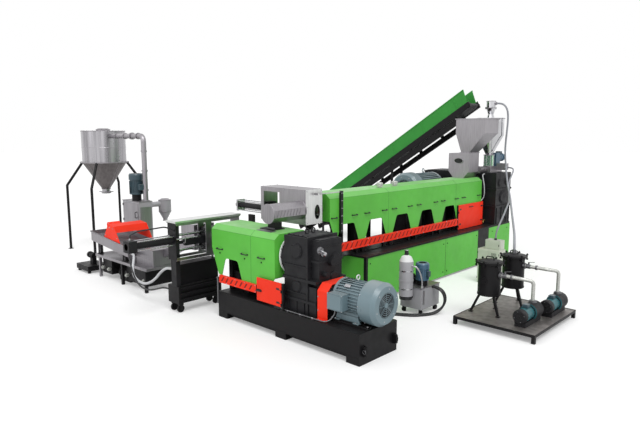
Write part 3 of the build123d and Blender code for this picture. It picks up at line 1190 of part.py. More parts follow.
with BuildPart() as trough_hose:
    hose("trough_hose", TROUGH_HOSE, TROUGH_HOSE_RADIUS)

with BuildPart() as drain_hose:
    hose("drain_hose", DRAIN_HOSE, DRAIN_HOSE_RADIUS)

with BuildPart() as hydraulic_hose:
    hose("hydraulic_hose", HYDRAULIC_HOSE, HYDRAULIC_HOSE_RADIUS)

with BuildPart() as return_hose:
    hose("return_hose", RETURN_HOSE, HYDRAULIC_HOSE_RADIUS)

with BuildPart() as oil_hose:
    hose("oil_hose", OIL_HOSE, OIL_HOSE_RADIUS)

# Every piece moves so that the origin is the bottom centre of the line without its hoses
pieces = {name: value for name, value in list(globals().items()) if isinstance(value, BuildPart)}
corners = []
for name, piece in pieces.items():
    if not name.endswith("_hose"):
        box = piece.part.bounding_box()
        corners += [box.min, box.max]
low = [min(tuple(corner)[index] for corner in corners) for index in range(3)]
high = [max(tuple(corner)[index] for corner in corners) for index in range(3)]
centre = Vector((low[0] + high[0]) / 2, (low[1] + high[1]) / 2, low[2])
print("bottom centre before the shift", centre, "size", [round(b - a) for a, b in zip(low, high)])
os.makedirs("parts", exist_ok=True)
for name, piece in pieces.items():
    piece.part.label = name
    export_step(piece.part.moved(Location(-centre)), f"parts/{name}.step")
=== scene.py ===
"""Looks of a two-stage plastic recycling extruder line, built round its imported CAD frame.

Places are millimetres from the plan datum, the point on the floor under the crossing of the two
barrel axes, and `at` turns them into the row frame's metres.
"""
import json
import math
from itertools import product

import bmesh
import bpy
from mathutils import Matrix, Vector


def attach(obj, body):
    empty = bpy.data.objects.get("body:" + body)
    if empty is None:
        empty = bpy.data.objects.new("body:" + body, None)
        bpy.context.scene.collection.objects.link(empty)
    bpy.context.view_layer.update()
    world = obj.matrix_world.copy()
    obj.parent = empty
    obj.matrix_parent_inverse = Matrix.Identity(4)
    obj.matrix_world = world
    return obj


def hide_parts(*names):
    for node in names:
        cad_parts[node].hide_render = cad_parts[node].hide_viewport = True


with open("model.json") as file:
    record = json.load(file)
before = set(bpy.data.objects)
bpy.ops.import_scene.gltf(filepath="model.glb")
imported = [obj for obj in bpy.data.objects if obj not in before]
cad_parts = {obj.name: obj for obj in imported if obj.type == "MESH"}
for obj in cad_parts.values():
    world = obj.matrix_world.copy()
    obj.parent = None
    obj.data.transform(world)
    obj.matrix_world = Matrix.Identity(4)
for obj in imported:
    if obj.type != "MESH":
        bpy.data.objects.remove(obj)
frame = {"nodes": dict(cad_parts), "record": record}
SCENE = bpy.context.scene
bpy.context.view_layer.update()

# Where the plan datum lies in the row frame, in metres
DATUM = Vector((2.220, -2.754, 0.0))
MM = 0.001

# The axes, and the parts of a turn
X, Y, Z = (Vector([float(row == column) for column in range(3)]) for row in range(3))
FULL_TURN = 2 * math.pi

# The camera, as fitted to the photograph
LENS_MM = 31.29
CAMERA_PITCH = 8.1027
CAMERA_YAW = 43.323
CAMERA_PLACE = (6050, -5330, 2750)
FLOOR_REACH = 90
FLOOR_GLOW = 0.24

# The white world's strength as a light, and as it is seen by the camera and in reflections
WORLD_LIGHT = 0.62
WORLD_SEEN = 1.0


def at(x, y, z):
    """A point of the row frame, from millimetres from the plan datum."""
    return DATUM + Vector((x, y, z)) * MM


def added(name, data):
    """A new object in the scene."""
    made = bpy.data.objects.new(name, data)
    SCENE.collection.objects.link(made)
    return made


def around(count, start=0.0):
    """The cosine and sine of evenly spaced angles."""
    angles = [start + FULL_TURN * index / count for index in range(count)]
    return [(math.cos(angle), math.sin(angle)) for angle in angles]


# Materials


class Finish:
    """A node material under construction, with its Principled shader."""

    def __init__(self, name, **values):
        self.material = bpy.data.materials.new(name)
        self.material.use_nodes = True
        self.tree = self.material.node_tree
        self.shader = self.tree.nodes["Principled BSDF"]
        self.place = self.tree.nodes.new("ShaderNodeTexCoord").outputs["Object"]
        self.set(**values)

    def node(self, kind, **values):
        made = self.tree.nodes.new(kind)
        for key, value in values.items():
            if key in made.inputs:
                made.inputs[key].default_value = value
            else:
                setattr(made, key, value)
        return made

    def link(self, source, target):
        self.tree.links.new(source, target)

    def noise(self, scale, detail=3.0, stretch=(1, 1, 1), roughness=0.55):
        mapping = self.node("ShaderNodeMapping")
        mapping.inputs["Scale"].default_value = stretch
        self.link(self.place, mapping.inputs["Vector"])
        texture = self.node("ShaderNodeTexNoise", Scale=scale, Detail=detail, Roughness=roughness)
        self.link(mapping.outputs["Vector"], texture.inputs["Vector"])
        return texture.outputs["Fac"]

    def between(self, factor, low, high, start=0.3, end=0.7):
        """A number that runs from low to high with the factor."""
        mapped = self.node("ShaderNodeMapRange")
        self.link(factor, mapped.inputs["Value"])
        for key, value in (("From Min", start), ("From Max", end), ("To Min", low), ("To Max", high)):
            mapped.inputs[key].default_value = value
        return mapped.outputs["Result"]

    def mottled(self, factor, colour, dark, light, start=0.3, end=0.7):
        """A colour that runs from a darker to a lighter shade of itself with the factor."""
        ramp = self.node("ShaderNodeValToRGB")
        self.link(factor, ramp.inputs["Fac"])
        for element, place, shade in zip(ramp.color_ramp.elements, (start, end), (dark, light)):
            element.position = place
            element.color = (*shaded(colour, shade), 1)
        return ramp.outputs["Color"]

    def mixed(self, factor, under, over):
        """The colour over laid on the colour or socket under, by the factor."""
        mix = self.node("ShaderNodeMix", data_type="RGBA")
        self.link(factor, mix.inputs["Factor"])
        self.link(under, mix.inputs["A"])
        mix.inputs["B"].default_value = (*over, 1)
        return mix.outputs["Result"]

    def bump(self, factor, distance, strength=1.0):
        node = self.node("ShaderNodeBump", Strength=strength, Distance=distance)
        self.link(factor, node.inputs["Height"])
        self.feed("Normal", node.outputs["Normal"])

    def feed(self, key, source):
        self.link(source, self.shader.inputs[key])

    def set(self, **values):
        for key, value in values.items():
            self.shader.inputs[key.replace("_", " ")].default_value = value


DUST = (0.62, 0.6, 0.56)
RUBBED_IRON = (0.16, 0.16, 0.17)


def shaded(colour, factor):
    return tuple(min(1.0, channel * factor) for channel in colour)


def paint(name, colour, roughness=0.36, dust=0.12, coat=0.15, gloss=0.5):
    """Sprayed machine paint: slight unevenness, orange peel, scuffs and dust on what faces up."""
    f = Finish(name, Specular_IOR_Level=gloss)
    uneven = f.mottled(f.noise(1.7, 4), colour, 0.9, 1.08)
    scuffs = f.between(f.noise(23, 8, roughness=0.7), 0.0, 0.5, 0.66, 0.74)
    scuffed = f.mixed(scuffs, uneven, shaded(colour, 0.55))
    upward = f.node("ShaderNodeSeparateXYZ")
    f.link(f.node("ShaderNodeNewGeometry").outputs["Normal"], upward.inputs["Vector"])
    dusty = f.between(upward.outputs["Z"], 0.0, dust, 0.55, 0.98)
    f.feed("Base Color", f.mixed(dusty, scuffed, DUST))
    f.feed("Roughness", f.between(f.noise(9, 5), roughness - 0.07, roughness + 0.12))
    f.bump(f.noise(420, 2), 0.0002, 0.35)
    f.set(Coat_Weight=coat, Coat_Roughness=0.25)
    return f.material


def casting(name, colour, roughness=0.55):
    """Painted cast iron: coarse skin, oily smears and paler rubbed places."""
    f = Finish(name, Specular_IOR_Level=0.28)
    base = f.mottled(f.noise(3.1, 6), colour, 0.75, 1.3, 0.3, 0.72)
    rubbed = f.between(f.noise(31, 8, roughness=0.75), 0.0, 0.4, 0.64, 0.75)
    f.feed("Base Color", f.mixed(rubbed, base, RUBBED_IRON))
    f.feed("Roughness", f.between(f.noise(6, 5), roughness - 0.2, roughness + 0.15))
    f.bump(f.noise(170, 6), 0.0008, 0.5)
    return f.material


def brushed(name, colour, stretch, roughness=0.34, streak=0.25):
    """Brushed stainless sheet: fine lines along one direction, with broad smears."""
    f = Finish(name, Metallic=1.0)
    lines = f.noise(1, 5, stretch=stretch)
    smears = f.noise(2.2, 5, stretch=(1, 1, 0.25))
    grained = f.mottled(lines, colour, 1 - streak, 1 + streak)
    stained = f.between(smears, 0.0, 0.35, 0.5, 0.75)
    f.feed("Base Color", f.mixed(stained, grained, shaded(colour, 0.55)))
    f.feed("Roughness", f.between(smears, roughness - 0.06, roughness + 0.12))
    f.bump(lines, 0.0001, 0.4)
    return f.material


def bright(name, colour, roughness=0.12):
    """Polished or plated metal with faint swirl marks."""
    f = Finish(name, Metallic=1.0)
    f.feed("Base Color", f.mottled(f.noise(4, 4), colour, 0.9, 1.06))
    f.feed("Roughness", f.between(f.noise(35, 6), roughness - 0.04, roughness + 0.1))
    return f.material


def zinc(name, colour):
    """Hot-dipped zinc: pale, with crystal patches."""
    f = Finish(name, Metallic=0.85)
    cells = f.node("ShaderNodeTexVoronoi", Scale=60.0)
    f.link(f.place, cells.inputs["Vector"])
    f.feed("Base Color", f.mottled(cells.outputs["Distance"], colour, 0.8, 1.15, 0.1, 0.6))
    f.feed("Roughness", f.between(f.noise(20, 4), 0.35, 0.55))
    f.bump(f.noise(90, 4), 0.0003, 0.3)
    return f.material


def soft(name, colour, roughness=0.6, grain=260):
    """Rubber or moulded plastic with a fine grain."""
    f = Finish(name)
    f.feed("Base Color", f.mottled(f.noise(5, 5), colour, 0.85, 1.12))
    f.feed("Roughness", f.between(f.noise(14, 4), roughness - 0.1, roughness + 0.1))
    f.bump(f.noise(grain, 3), 0.0003, 0.4)
    return f.material


def clear(name, colour, roughness=0.06):
    """A clear or tinted sheet of plastic with faint scratches."""
    f = Finish(name, Transmission_Weight=0.85, IOR=1.3)
    f.feed("Base Color", f.mottled(f.noise(3, 4), colour, 0.94, 1.03))
    f.feed("Roughness", f.between(f.noise(60, 8), roughness, roughness + 0.12))
    return f.material


GREEN = (0.115, 0.53, 0.058)
DARK_GREEN = (0.03, 0.16, 0.03)
BLACK = (0.008, 0.0075, 0.0085)
RED = (1.0, 0.038, 0.012)
SLATE = (0.15, 0.22, 0.25)

FINISHES = {name: make(name, *values) for name, (make, *values) in {
    "green_paint": (paint, GREEN, 0.4, 0.2, 0.05, 0.3),
    "dark_paint": (paint, BLACK, 0.4, 0.01, 0.0, 0.2),
    "red_paint": (paint, RED, 0.45, 0.03, 0.0, 0.2),
    "motor_paint": (paint, SLATE, 0.34, 0.16, 0.3),
    "blue_paint": (paint, (0.05, 0.12, 0.19), 0.36, 0.12),
    "cream_paint": (paint, (0.6, 0.64, 0.54), 0.4, 0.1),
    "grey_paint": (paint, (0.36, 0.36, 0.38), 0.4, 0.12),
    "dark_casting": (casting, (0.011, 0.011, 0.013)),
    "stainless": (brushed, (0.36, 0.345, 0.365), (60, 60, 3), 0.34, 0.12),
    "polished_steel": (bright, (0.62, 0.62, 0.64)),
    "galvanised": (zinc, (0.52, 0.53, 0.5)),
    "belt_rubber": (soft, (0.024, 0.026, 0.026)),
    "grey_hose": (soft, (0.3, 0.31, 0.34), 0.45),
    "white_hose": (soft, (0.62, 0.63, 0.65), 0.35),
    "black_hose": (soft, (0.014, 0.014, 0.016), 0.4),
}.items()}
DARK = FINISHES["dark_paint"]
BLUE = FINISHES["blue_paint"]
for part in frame["record"]["subparts"]:
    node = frame["nodes"][part["node"]]
    node.data.materials.clear()
    node.data.materials.append(FINISHES[part["material_slot"]])

SILO_STEEL = brushed("silo_steel", (0.4, 0.39, 0.41), (9, 9, 0.25), 0.24, 0.5)
CONE_STEEL = brushed("cone_steel", (0.17, 0.155, 0.155), (20, 20, 2), 0.4, 0.2)
PALE_STEEL = brushed("pale_steel", (0.74, 0.75, 0.74), (30, 30, 4), 0.32, 0.08)
MIRROR_STEEL = bright("mirror_steel", (0.66, 0.66, 0.68), 0.07)
CONVEYOR_GREEN = paint("conveyor_green", (0.035, 0.29, 0.04), 0.42, 0.1, 0.0, 0.3)
DARK_SLATE = paint("dark_slate", (0.035, 0.07, 0.09), 0.36, 0.12)
for node_name, finish in (
    ("silo_shell", SILO_STEEL), ("side_hopper", MIRROR_STEEL), ("vacuum_loader", MIRROR_STEEL),
    ("conveyor_guards", CONVEYOR_GREEN), ("dryer_motor", DARK_SLATE),
):
    frame["nodes"][node_name].data.materials[0] = finish

# Edges of the CAD nodes: welded, then rounded a little so that they catch the light

WELD_REACH = 0.00001
EDGE_ROUND = 0.003
SHARP_ANGLE = math.radians(32)


def rounded(obj, width, segments=2):
    weld = obj.modifiers.new("weld", "WELD")
    weld.merge_threshold = WELD_REACH
    bevel = obj.modifiers.new("round", "BEVEL")
    bevel.width = width
    bevel.segments = segments
    bevel.limit_method = "ANGLE"
    bevel.angle_limit = SHARP_ANGLE
    bevel.harden_normals = True


for node in frame["nodes"].values():
    attribute = node.data.attributes.get("custom_normal")
    if attribute:
        node.data.attributes.remove(attribute)
    node.data.polygons.foreach_set("use_smooth", [True] * len(node.data.polygons))
    rounded(node, EDGE_ROUND)

# Small parts are gathered into joined meshes, in millimetres from the plan datum

BEND_STEPS = 6


def square_to(axis):
    """Two unit vectors square to an axis and to each other."""
    side = axis.cross(Z if abs(axis.z) < 0.9 else X).normalized()
    return side, axis.cross(side).normalized()


class Piece:
    """One joined mesh of small parts."""

    made = []

    def __init__(self, name, slot, finish=None, edge=0.0, body="line"):
        self.name, self.slot, self.finish, self.edge, self.body = name, slot, finish, edge, body
        self.mesh = bmesh.new()
        self.made.append(self)

    def hull(self, rings, closed=False):
        """Quads between rings of points of equal count, with flat caps unless the rings close."""
        made = [[self.mesh.verts.new(point) for point in ring] for ring in rings]
        count = len(made[0])
        for low, high in zip(made, made[1:] + made[:1] if closed else made[1:]):
            for index in range(count):
                after = (index + 1) % count
                self.mesh.faces.new((low[index], low[after], high[after], high[index]))
        if not closed:
            self.mesh.faces.new(made[0][::-1])
            self.mesh.faces.new(made[-1])

    def box(self, x0, x1, y0, y1, z0, z1):
        self.hull([[(x0, y0, z), (x1, y0, z), (x1, y1, z), (x0, y1, z)] for z in (z0, z1)])

    def twins(self, across, x0, x1, y0, y1, z0, z1):
        """A box and its mirror image across the datum, along "x" or "y"."""
        self.box(x0, x1, y0, y1, z0, z1)
        if across == "x":
            self.box(-x1, -x0, y0, y1, z0, z1)
        else:
            self.box(x0, x1, -y1, -y0, z0, z1)

    def plate(self, outline, thickness):
        """A flat plate over an outline of points, thickened along a vector."""
        offset = Vector(thickness)
        self.hull([[Vector(point) for point in outline], [Vector(point) + offset for point in outline]])

    def turned(self, start, axis, profile, sides=24):
        """A solid of revolution from (distance, radius) pairs along an axis."""
        along = Vector(axis).normalized()
        side, up = square_to(along)
        self.hull([
            [Vector(start) + along * distance + (side * c + up * s) * radius for c, s in around(sides)]
            for distance, radius in profile
        ])

    def disc(self, start, axis, radius, height, sides=24):
        self.turned(start, axis, [(0, radius), (height, radius)], sides)

    def cap(self, start, axis, radii, heights, sides=24):
        """A bearing cap: a rim, and a smaller step on it whose top is a little narrower."""
        rim, step, top = radii
        rim_height, height = heights
        self.turned(start, axis, [(0, rim), (rim_height, rim), (rim_height + 2, step), (height, top)], sides)

    def rod(self, start, end, radius, sides=16):
        axis = Vector(end) - Vector(start)
        edge = min(radius * 0.15, axis.length * 0.1)
        long = axis.length
        profile = [(0, radius - edge), (edge, radius), (long - edge, radius), (long, radius - edge)]
        self.turned(start, axis, profile, sides)

    def closed_rods(self, outline, radius):
        """Short rods from each point of an outline to the next."""
        for first, after in zip(outline, outline[1:] + outline[:1]):
            self.rod(first, after, radius, 8)

    def rim(self, x, y, z, x_width, y_width):
        """A flat rectangular frame inside two spans."""
        inner = (y[0] + y_width, y[1] - y_width)
        for y_span in ((y[0], inner[0]), (inner[1], y[1])):
            self.box(*x, *y_span, *z)
        for x_span in ((x[0], x[0] + x_width), (x[1] - x_width, x[1])):
            self.box(*x_span, *inner, *z)

    def ring(self, centre, axis, radius, wire, sides=24, wire_sides=8):
        along = Vector(axis).normalized()
        side, up = square_to(along)
        rings = []
        for c, s in around(sides):
            out = side * c + up * s
            middle = Vector(centre) + out * radius
            rings.append([middle + (out * cw + along * sw) * wire for cw, sw in around(wire_sides)])
        self.hull(rings, closed=True)

    def tube(self, points, radius, sides=12, bend=0.0):
        """A pipe along points, its corners bent to a radius."""
        points = [Vector(point) for point in points]
        path = points[:1]
        for before, corner, after in zip(points, points[1:], points[2:]):
            into, out = corner - before, after - corner
            cut = min(bend, into.length * 0.48, out.length * 0.48)
            first = corner - into.normalized() * cut
            last = corner + out.normalized() * cut
            for step in range(BEND_STEPS + 1 if cut else 1):
                t = step / BEND_STEPS
                path.append(first.lerp(corner, t).lerp(corner.lerp(last, t), t))
        path.append(points[-1])
        heading = (path[1] - path[0]).normalized()
        side, up = square_to(heading)
        rings = []
        for index, place in enumerate(path):
            ahead = path[min(index + 1, len(path) - 1)] - path[max(index - 1, 0)]
            side = (side - ahead * side.dot(ahead) / ahead.length_squared).normalized()
            up = ahead.normalized().cross(side)
            rings.append([place + (side * c + up * s) * radius for c, s in around(sides)])
        self.hull(rings)

    def bolt(self, place, axis, size=10):
        """A hexagon head on a washer."""
        self.disc(place, axis, size * 1.15, size * 0.2, 16)
        self.turned(place, axis, [(size * 0.2, size), (size * 0.75, size), (size * 0.9, size * 0.85)], 6)

    def bolts(self, x, y, z, axis, size=10):
        """Bolts at every meeting of places along x, y and z, where each is one place or several."""
        for place in product(*(([span] if isinstance(span, (int, float)) else span) for span in (x, y, z))):
            self.bolt(place, axis, size)

    def bolt_circle(self, centre, axis, radius, count, size=10, start=0.0):
        side, up = square_to(Vector(axis).normalized())
        for c, s in around(count, start):
            self.bolt(Vector(centre) + (side * c + up * s) * radius, axis, size)

    def handle(self, start, end, out, radius=7):
        """A bow handle between two feet, standing out along a vector."""
        reach = Vector(out)
        first, last = Vector(start), Vector(end)
        inset = (last - first) * 0.024
        bow = [first, first + inset + reach, last - inset + reach, last]
        self.tube(bow, radius, 10, reach.length * 0.6)
        for foot in (first, last):
            self.turned(foot, reach, [(0, radius * 1.8), (radius * 0.8, radius * 1.5)], 12)

    def place(self):
        """Turns what was gathered into an object that rides on its body."""
        bmesh.ops.recalc_face_normals(self.mesh, faces=self.mesh.faces)
        for vertex in self.mesh.verts:
            vertex.co = at(*vertex.co)
        data = bpy.data.meshes.new(self.name)
        self.mesh.to_mesh(data)
        self.mesh.free()
        data.polygons.foreach_set("use_smooth", [True] * len(data.polygons))
        data.materials.append(self.finish or FINISHES[self.slot])
        piece = added(self.name, data)
        if self.edge:
            rounded(piece, self.edge * MM, 1)
        else:
            split = piece.modifiers.new("edges", "EDGE_SPLIT")
            split.split_angle = SHARP_ANGLE
        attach(piece, self.body)


def recolour(node_name, finish, chosen):
    """Gives another finish to the faces of a CAD node whose centre, in millimetres, is chosen."""
    data = frame["nodes"][node_name].data
    data.materials.append(finish)
    index = len(data.materials) - 1
    for face in data.polygons:
        place = (face.center - DATUM) / MM
        if chosen(place, face.normal):
            face.material_index = index


# Details of the second extruder

BARE = bright("bare_steel", (0.55, 0.55, 0.57), 0.22)
BARE_STEEL = ("polished_steel", BARE)
PAINTED_HOLE_SHADE = soft("painted_hole_shade", (0.012, 0.012, 0.014), 0.8)
TEAL = paint("teal_plastic", (0.02, 0.13, 0.15), 0.4, 0.05)
WHITE = paint("white_paint", (0.75, 0.76, 0.76), 0.35, 0.0)
SEAM = paint("seam_shade", DARK_GREEN, 0.6, 0.0, 0.0)
DULL_STEEL = brushed("dull_steel", (0.2, 0.2, 0.21), (40, 40, 8), 0.42, 0.15)


def motor_details(name, cowl_face, axis, radius, grille_finish, screws=6):
    """Inlet grille of a fan cowl, with its hub, spokes and screws round the rim, and a near-black disc
    behind the grille as painted shade.
    """
    along = Vector(axis).normalized()
    side, up = square_to(along)
    centre = Vector(cowl_face)
    inlet = radius * 0.58
    grille = Piece(name + "_grille", "motor_paint", grille_finish)
    for step in range(1, 7):
        grille.ring(centre - along * 4, axis, inlet * step / 6.4, radius * 0.011, 32, 6)
    for c, s in around(8):
        out = (side * c + up * s) * inlet
        grille.rod(centre - along * 6 + out * 0.1, centre - along * 6 + out * 0.98, radius * 0.01, 6)
    grille.turned(centre - along * 8, axis, [(0, inlet * 0.22), (5, inlet * 0.22), (8, inlet * 0.18)], 20)
    # A near-black disc set inside the inlet: painted shade of the cowl's inside.
    shade = Piece(name + "_inlet", "black_hose", PAINTED_HOLE_SHADE)
    shade.disc(centre - along * radius * 0.06, axis, inlet * 0.99, 1, 32)
    rim = Piece(name + "_screws", *BARE_STEEL)
    rim.bolt_circle(centre - along * radius * 0.02, axis, radius * 0.74, screws, max(4, radius * 0.03), 0.3)


# Second motor: grille, terminal box lid, blank plate, feet and slide rails

motor_details("second_motor", (2143, 0, 700), X, 275, FINISHES["motor_paint"])

box = Piece("second_terminal_lid", "motor_paint", edge=5)
box.box(1462, 1718, -341, -332, 592, 808)
box.box(1478, 1702, -353, -341, 608, 792)
box.box(1475, 1705, -322, -200, 799, 806)

screws = Piece("second_motor_bolts", *BARE_STEEL)
screws.bolts((1472, 1708), -341, (602, 798), -Y, 6)
screws.bolts((1500, 1830), (-212, 212), 452, Z, 13)
screws.bolts((1398, 1985), (-175, 175), 430, Z, 11)
for c, s in around(12):
    screws.bolt((1912, 277 * c, 700 + 277 * s), (0, c, s), 6)

glands = Piece("second_terminal_glands", "black_hose")
for x in (1530, 1590, 1650):
    glands.turned((x, -262, 600), -Z, [(0, 24), (8, 24), (9, 19), (30, 19), (34, 13)], 16)

plate = Piece("second_motor_plate", *BARE_STEEL)
plate.plate([(1600, -168, 873), (1690, -168, 873), (1690, -137, 901), (1600, -137, 901)], (0, -1.4, 1.6))

feet = Piece("second_motor_feet", "motor_paint", edge=3)
feet.twins("y", 1480, 1570, 163, 227, 440, 452)
feet.twins("y", 1790, 1880, 163, 227, 440, 452)
for y, inwards in ((-195, 10), (195, -10)):
    feet.plate([(1480, y, 452), (1880, y, 452), (1850, y, 520), (1510, y, 520)], (0, inwards, 0))

rails = Piece("second_motor_rails", "dark_paint", edge=3)
rails.twins("y", 1375, 2010, 127, 223, 400, 414)
rails.twins("y", 1375, 2010, 127, 161, 414, 430)
rails.twins("y", 1375, 2010, 189, 223, 414, 430)

recolour("second_motor", WHITE, lambda p, n: p.z > 940)

# Coupling guard: foot flanges, bolts and the folded edges

guard = Piece("coupling_guard_feet", "red_paint", edge=1.5)
guard.twins("y", 1252, 1423, 290, 318, 400, 405)
for x, y in product((1280, 1395), (-306, 306)):
    guard.disc((x, y, 405), Z, 12, 3, 12)
screws = Piece("coupling_guard_bolts", *BARE_STEEL)
screws.bolts((1280, 1395), (-306, 306), 407, Z, 8)
screws.bolts(1262, -291, (700, 520), -Y, 7)

# Second gearbox: joint flanges, cover plates, bearing caps, bolts, oil fitting, conduit and eye caps

case = Piece("second_gearbox_covers", "dark_casting", edge=4)
for z in (1040, 669):
    case.twins("y", 612, 1078, 278, 296, z - 9, z + 9)
case.twins("y", 1070, 1222, 219, 279, 402, 792)
case.box(1205, 1232, -221, 221, 1312, 1332)
case.box(650, 1040, -245, 245, 1429, 1443)
case.box(1090, 1200, -190, 190, 1399, 1411)
case.cap((1219, 90, 1130), X, (92, 78, 76), (12, 26), 32)
case.cap((1219, 60, 900), X, (74, 62, 60), (10, 22), 32)
case.cap((860, -279, 1235), -Y, (104, 88, 86), (12, 24), 36)
case.cap((860, -279, 760), -Y, (84, 70, 68), (10, 20), 32)

bolts = Piece("second_gearbox_bolts", "dark_casting")
bolts.bolt_circle((1231, 90, 1130), X, 84, 8, 7)
bolts.bolt_circle((1229, 60, 900), X, 67, 6, 6)
bolts.bolt_circle((860, -291, 1235), -Y, 96, 8, 7)
bolts.bolt_circle((860, -289, 760), -Y, 77, 6, 6)
bolts.bolt_circle((543, 0, 1110), -X, 272, 16, 9)
bolts.bolts(range(640, 1070, 60), -288, (1049, 678), Z, 6)
bolts.bolts((668, 760, 845, 930, 1022), (-230, 230), 1443, Z, 9)

pump = Piece("second_oil_flange", "galvanised", DULL_STEEL)
pump.cap((1220, -215, 1285), X, (50, 40, 36), (12, 22))
pump = Piece("second_oil_fitting", *BARE_STEEL)
pump.turned((1220, -160, 1236), X, [(0, 34), (10, 34), (11, 26), (48, 26), (52, 22), (58, 22), (60, 14)], 20)
pump.tube([(1242, -215, 1285), (1270, -215, 1285), (1285, -180, 1250)], 8, 10, 20)
pump.bolt_circle((1242, -215, 1285), X, 42, 4, 5, 0.4)

pipe = Piece("second_motor_conduit", "galvanised", DULL_STEEL)
pipe.tube([
    (608, -352, 500), (612, -352, 425), (680, -352, 413), (1360, -352, 413), (1440, -345, 413),
    (1490, -300, 440), (1530, -264, 520), (1530, -262, 575),
], 9, 12, 45)
pipe = Piece("second_conduit_clips", *BARE_STEEL)
for x in (760, 1000, 1220):
    pipe.box(x - 12, x + 12, -368, -336, 400, 403)
    pipe.ring((x, -352, 412), X, 10, 3, 16, 6)

collars = Piece("second_gearbox_eye_caps", "dark_casting")
for y in (-60, 60):
    collars.turned((840, y, 1443), Z, [(0, 26), (8, 25), (12, 18)], 16)

# Second base: edge strips, and the cheeks and eyes of its lugs

strip = Piece("second_base_edges", "dark_paint", edge=1)
strip.twins("y", -740, 2010, 381, 384, 388, 400)
strip.twins("y", -740, 2010, 381, 383, 92, 100)
strip.box(-700, 600, -374, -330, 399, 405)

lugs = Piece("second_base_lug_cheeks", "dark_paint", edge=1.5)
for x, way in ((2030, 1), (-760, -1)):
    for y in (-320, 295):
        outline = [(x, y, 250), (x, y, 110)]
        for c, s in around(16, -math.pi / 2)[:9]:
            outline.append((x + way * (34 + 30 * c), y, 175 + 62 * s))
        lugs.plate(outline, (0, -7, 0))
        lugs.plate([Vector(point) + Y * 25 for point in outline], (0, 7, 0))

rings = Piece("second_base_lug_eyes", "polished_steel", DULL_STEEL)
for x, y in product((2060, -790), (-328, 328)):
    rings.ring((x, y, 175), Y, 23, 3, 20, 6)

# Second cover: handles, seams, locks and the collar round its throat

SECOND_COVER_HALF = 330
SECOND_COVER_LOCKS = (-758, -170, 201)
handles = Piece("second_cover_handles", "black_hose")
for side, x in product((-1, 1), SECOND_COVER_LOCKS):
    y = side * SECOND_COVER_HALF
    handles.handle((x - 66, y, 1050), (x + 66, y, 1050), Y * side * 30, 8)
seams = Piece("second_cover_seams", "green_paint", SEAM)
seams.twins("y", -31, -27, 330, 330.8, 651, 1338)
seams.twins("y", -958, 478, 330, 330.7, 1336, 1339)
for side in (-1, 1):
    y, top = side * SECOND_COVER_HALF, side * 240
    outline = [(-31, y, 1340), (-27, y, 1340), (-27, top, 1412), (-31, top, 1412)]
    seams.plate(outline, (0, side * 0.6, 0.8))
keys = Piece("second_cover_locks", "dark_paint")
for side, x in product((-1, 1), SECOND_COVER_LOCKS):
    keys.turned((x, side * SECOND_COVER_HALF, 985), Y * side, [(0, 13), (3, 13), (4, 10), (7, 9)], 16)
collar = Piece("second_throat_collar", "galvanised", DULL_STEEL, edge=2)
collar.box(-14, 300, -236, -124, 1411, 1418)
collar.box(28, 192, -72, -60, 1412, 1440)

# Side guards: a darker red sheet behind their slots as painted shade, bolts and hems

# A darker red sheet just behind the slots, so that they show painted shade.
SHADE_RED = paint("slot_shade", (0.22, 0.012, 0.008), 0.6, 0.0, 0.0)
slot_shade_sheet = Piece("side_guard_backing", "red_paint", SHADE_RED, edge=1)
slot_shade_sheet.box(-752, 102, -353, -350, 546, 638)
slot_shade_sheet.box(319, 322, 1056, 4864, 932, 1046)
bolts = Piece("side_guard_bolts", *BARE_STEEL)
bolts.bolts((-742, -575, -360, -140, 96), -360, (543, 640), -Y, 7)
bolts.bolts(330, range(1066, 4860, 421), (930, 1046), X, 8)
hems = Piece("side_guard_hems", "red_paint", edge=1.5)
hems.box(-760, 110, -364, -360, 533, 541)
hems.box(330, 334, 1050, 4870, 920, 929)

# Doors: handles, catches and hinge screws, which swing with them

parts = Piece("second_door_fittings", "black_hose", edge=1, body="second_door")
parts.handle((160, -380, 594), (246, -380, 594), (0, -34, 0), 8)
parts.box(168, 238, -384, -380, 574, 614)
for z in (496, 687):
    parts.box(560, 640, -383, -380, z - 13, z + 13)
parts.bolts((575, 625), -383, (496, 687), -Y, 6)
folds = Piece("second_door_folds", "red_paint", edge=1, body="second_door")
folds.box(150, 157, -375, -360, 445, 775)
folds.box(157, 655, -375, -362, 768, 775)
folds.box(157, 655, -375, -362, 445, 452)
parts = Piece("first_door_fittings", "black_hose", edge=1, body="first_door")
parts.handle((330, 5350, 1262), (330, 5460, 1262), (34, 0, 0), 8)
for z in (928, 1238):
    parts.box(330, 333, 4950, 5010, z - 16, z + 16)
    parts.box(330, 334, 5848, 5930, z - 14, z + 14)
    parts.turned((334, 5888, z), X, [(0, 15), (5, 15), (6, 11), (18, 10)], 16)
parts.bolts(333, (4965, 4995, 5862, 5915), (928, 1238), X, 6)
folds = Piece("first_door_folds", "red_paint", edge=1, body="first_door")
folds.box(311, 325, 5943, 5950, 820, 1330)
folds.box(311, 325, 4912, 5943, 1323, 1330)
folds.box(311, 325, 4912, 5943, 820, 827)
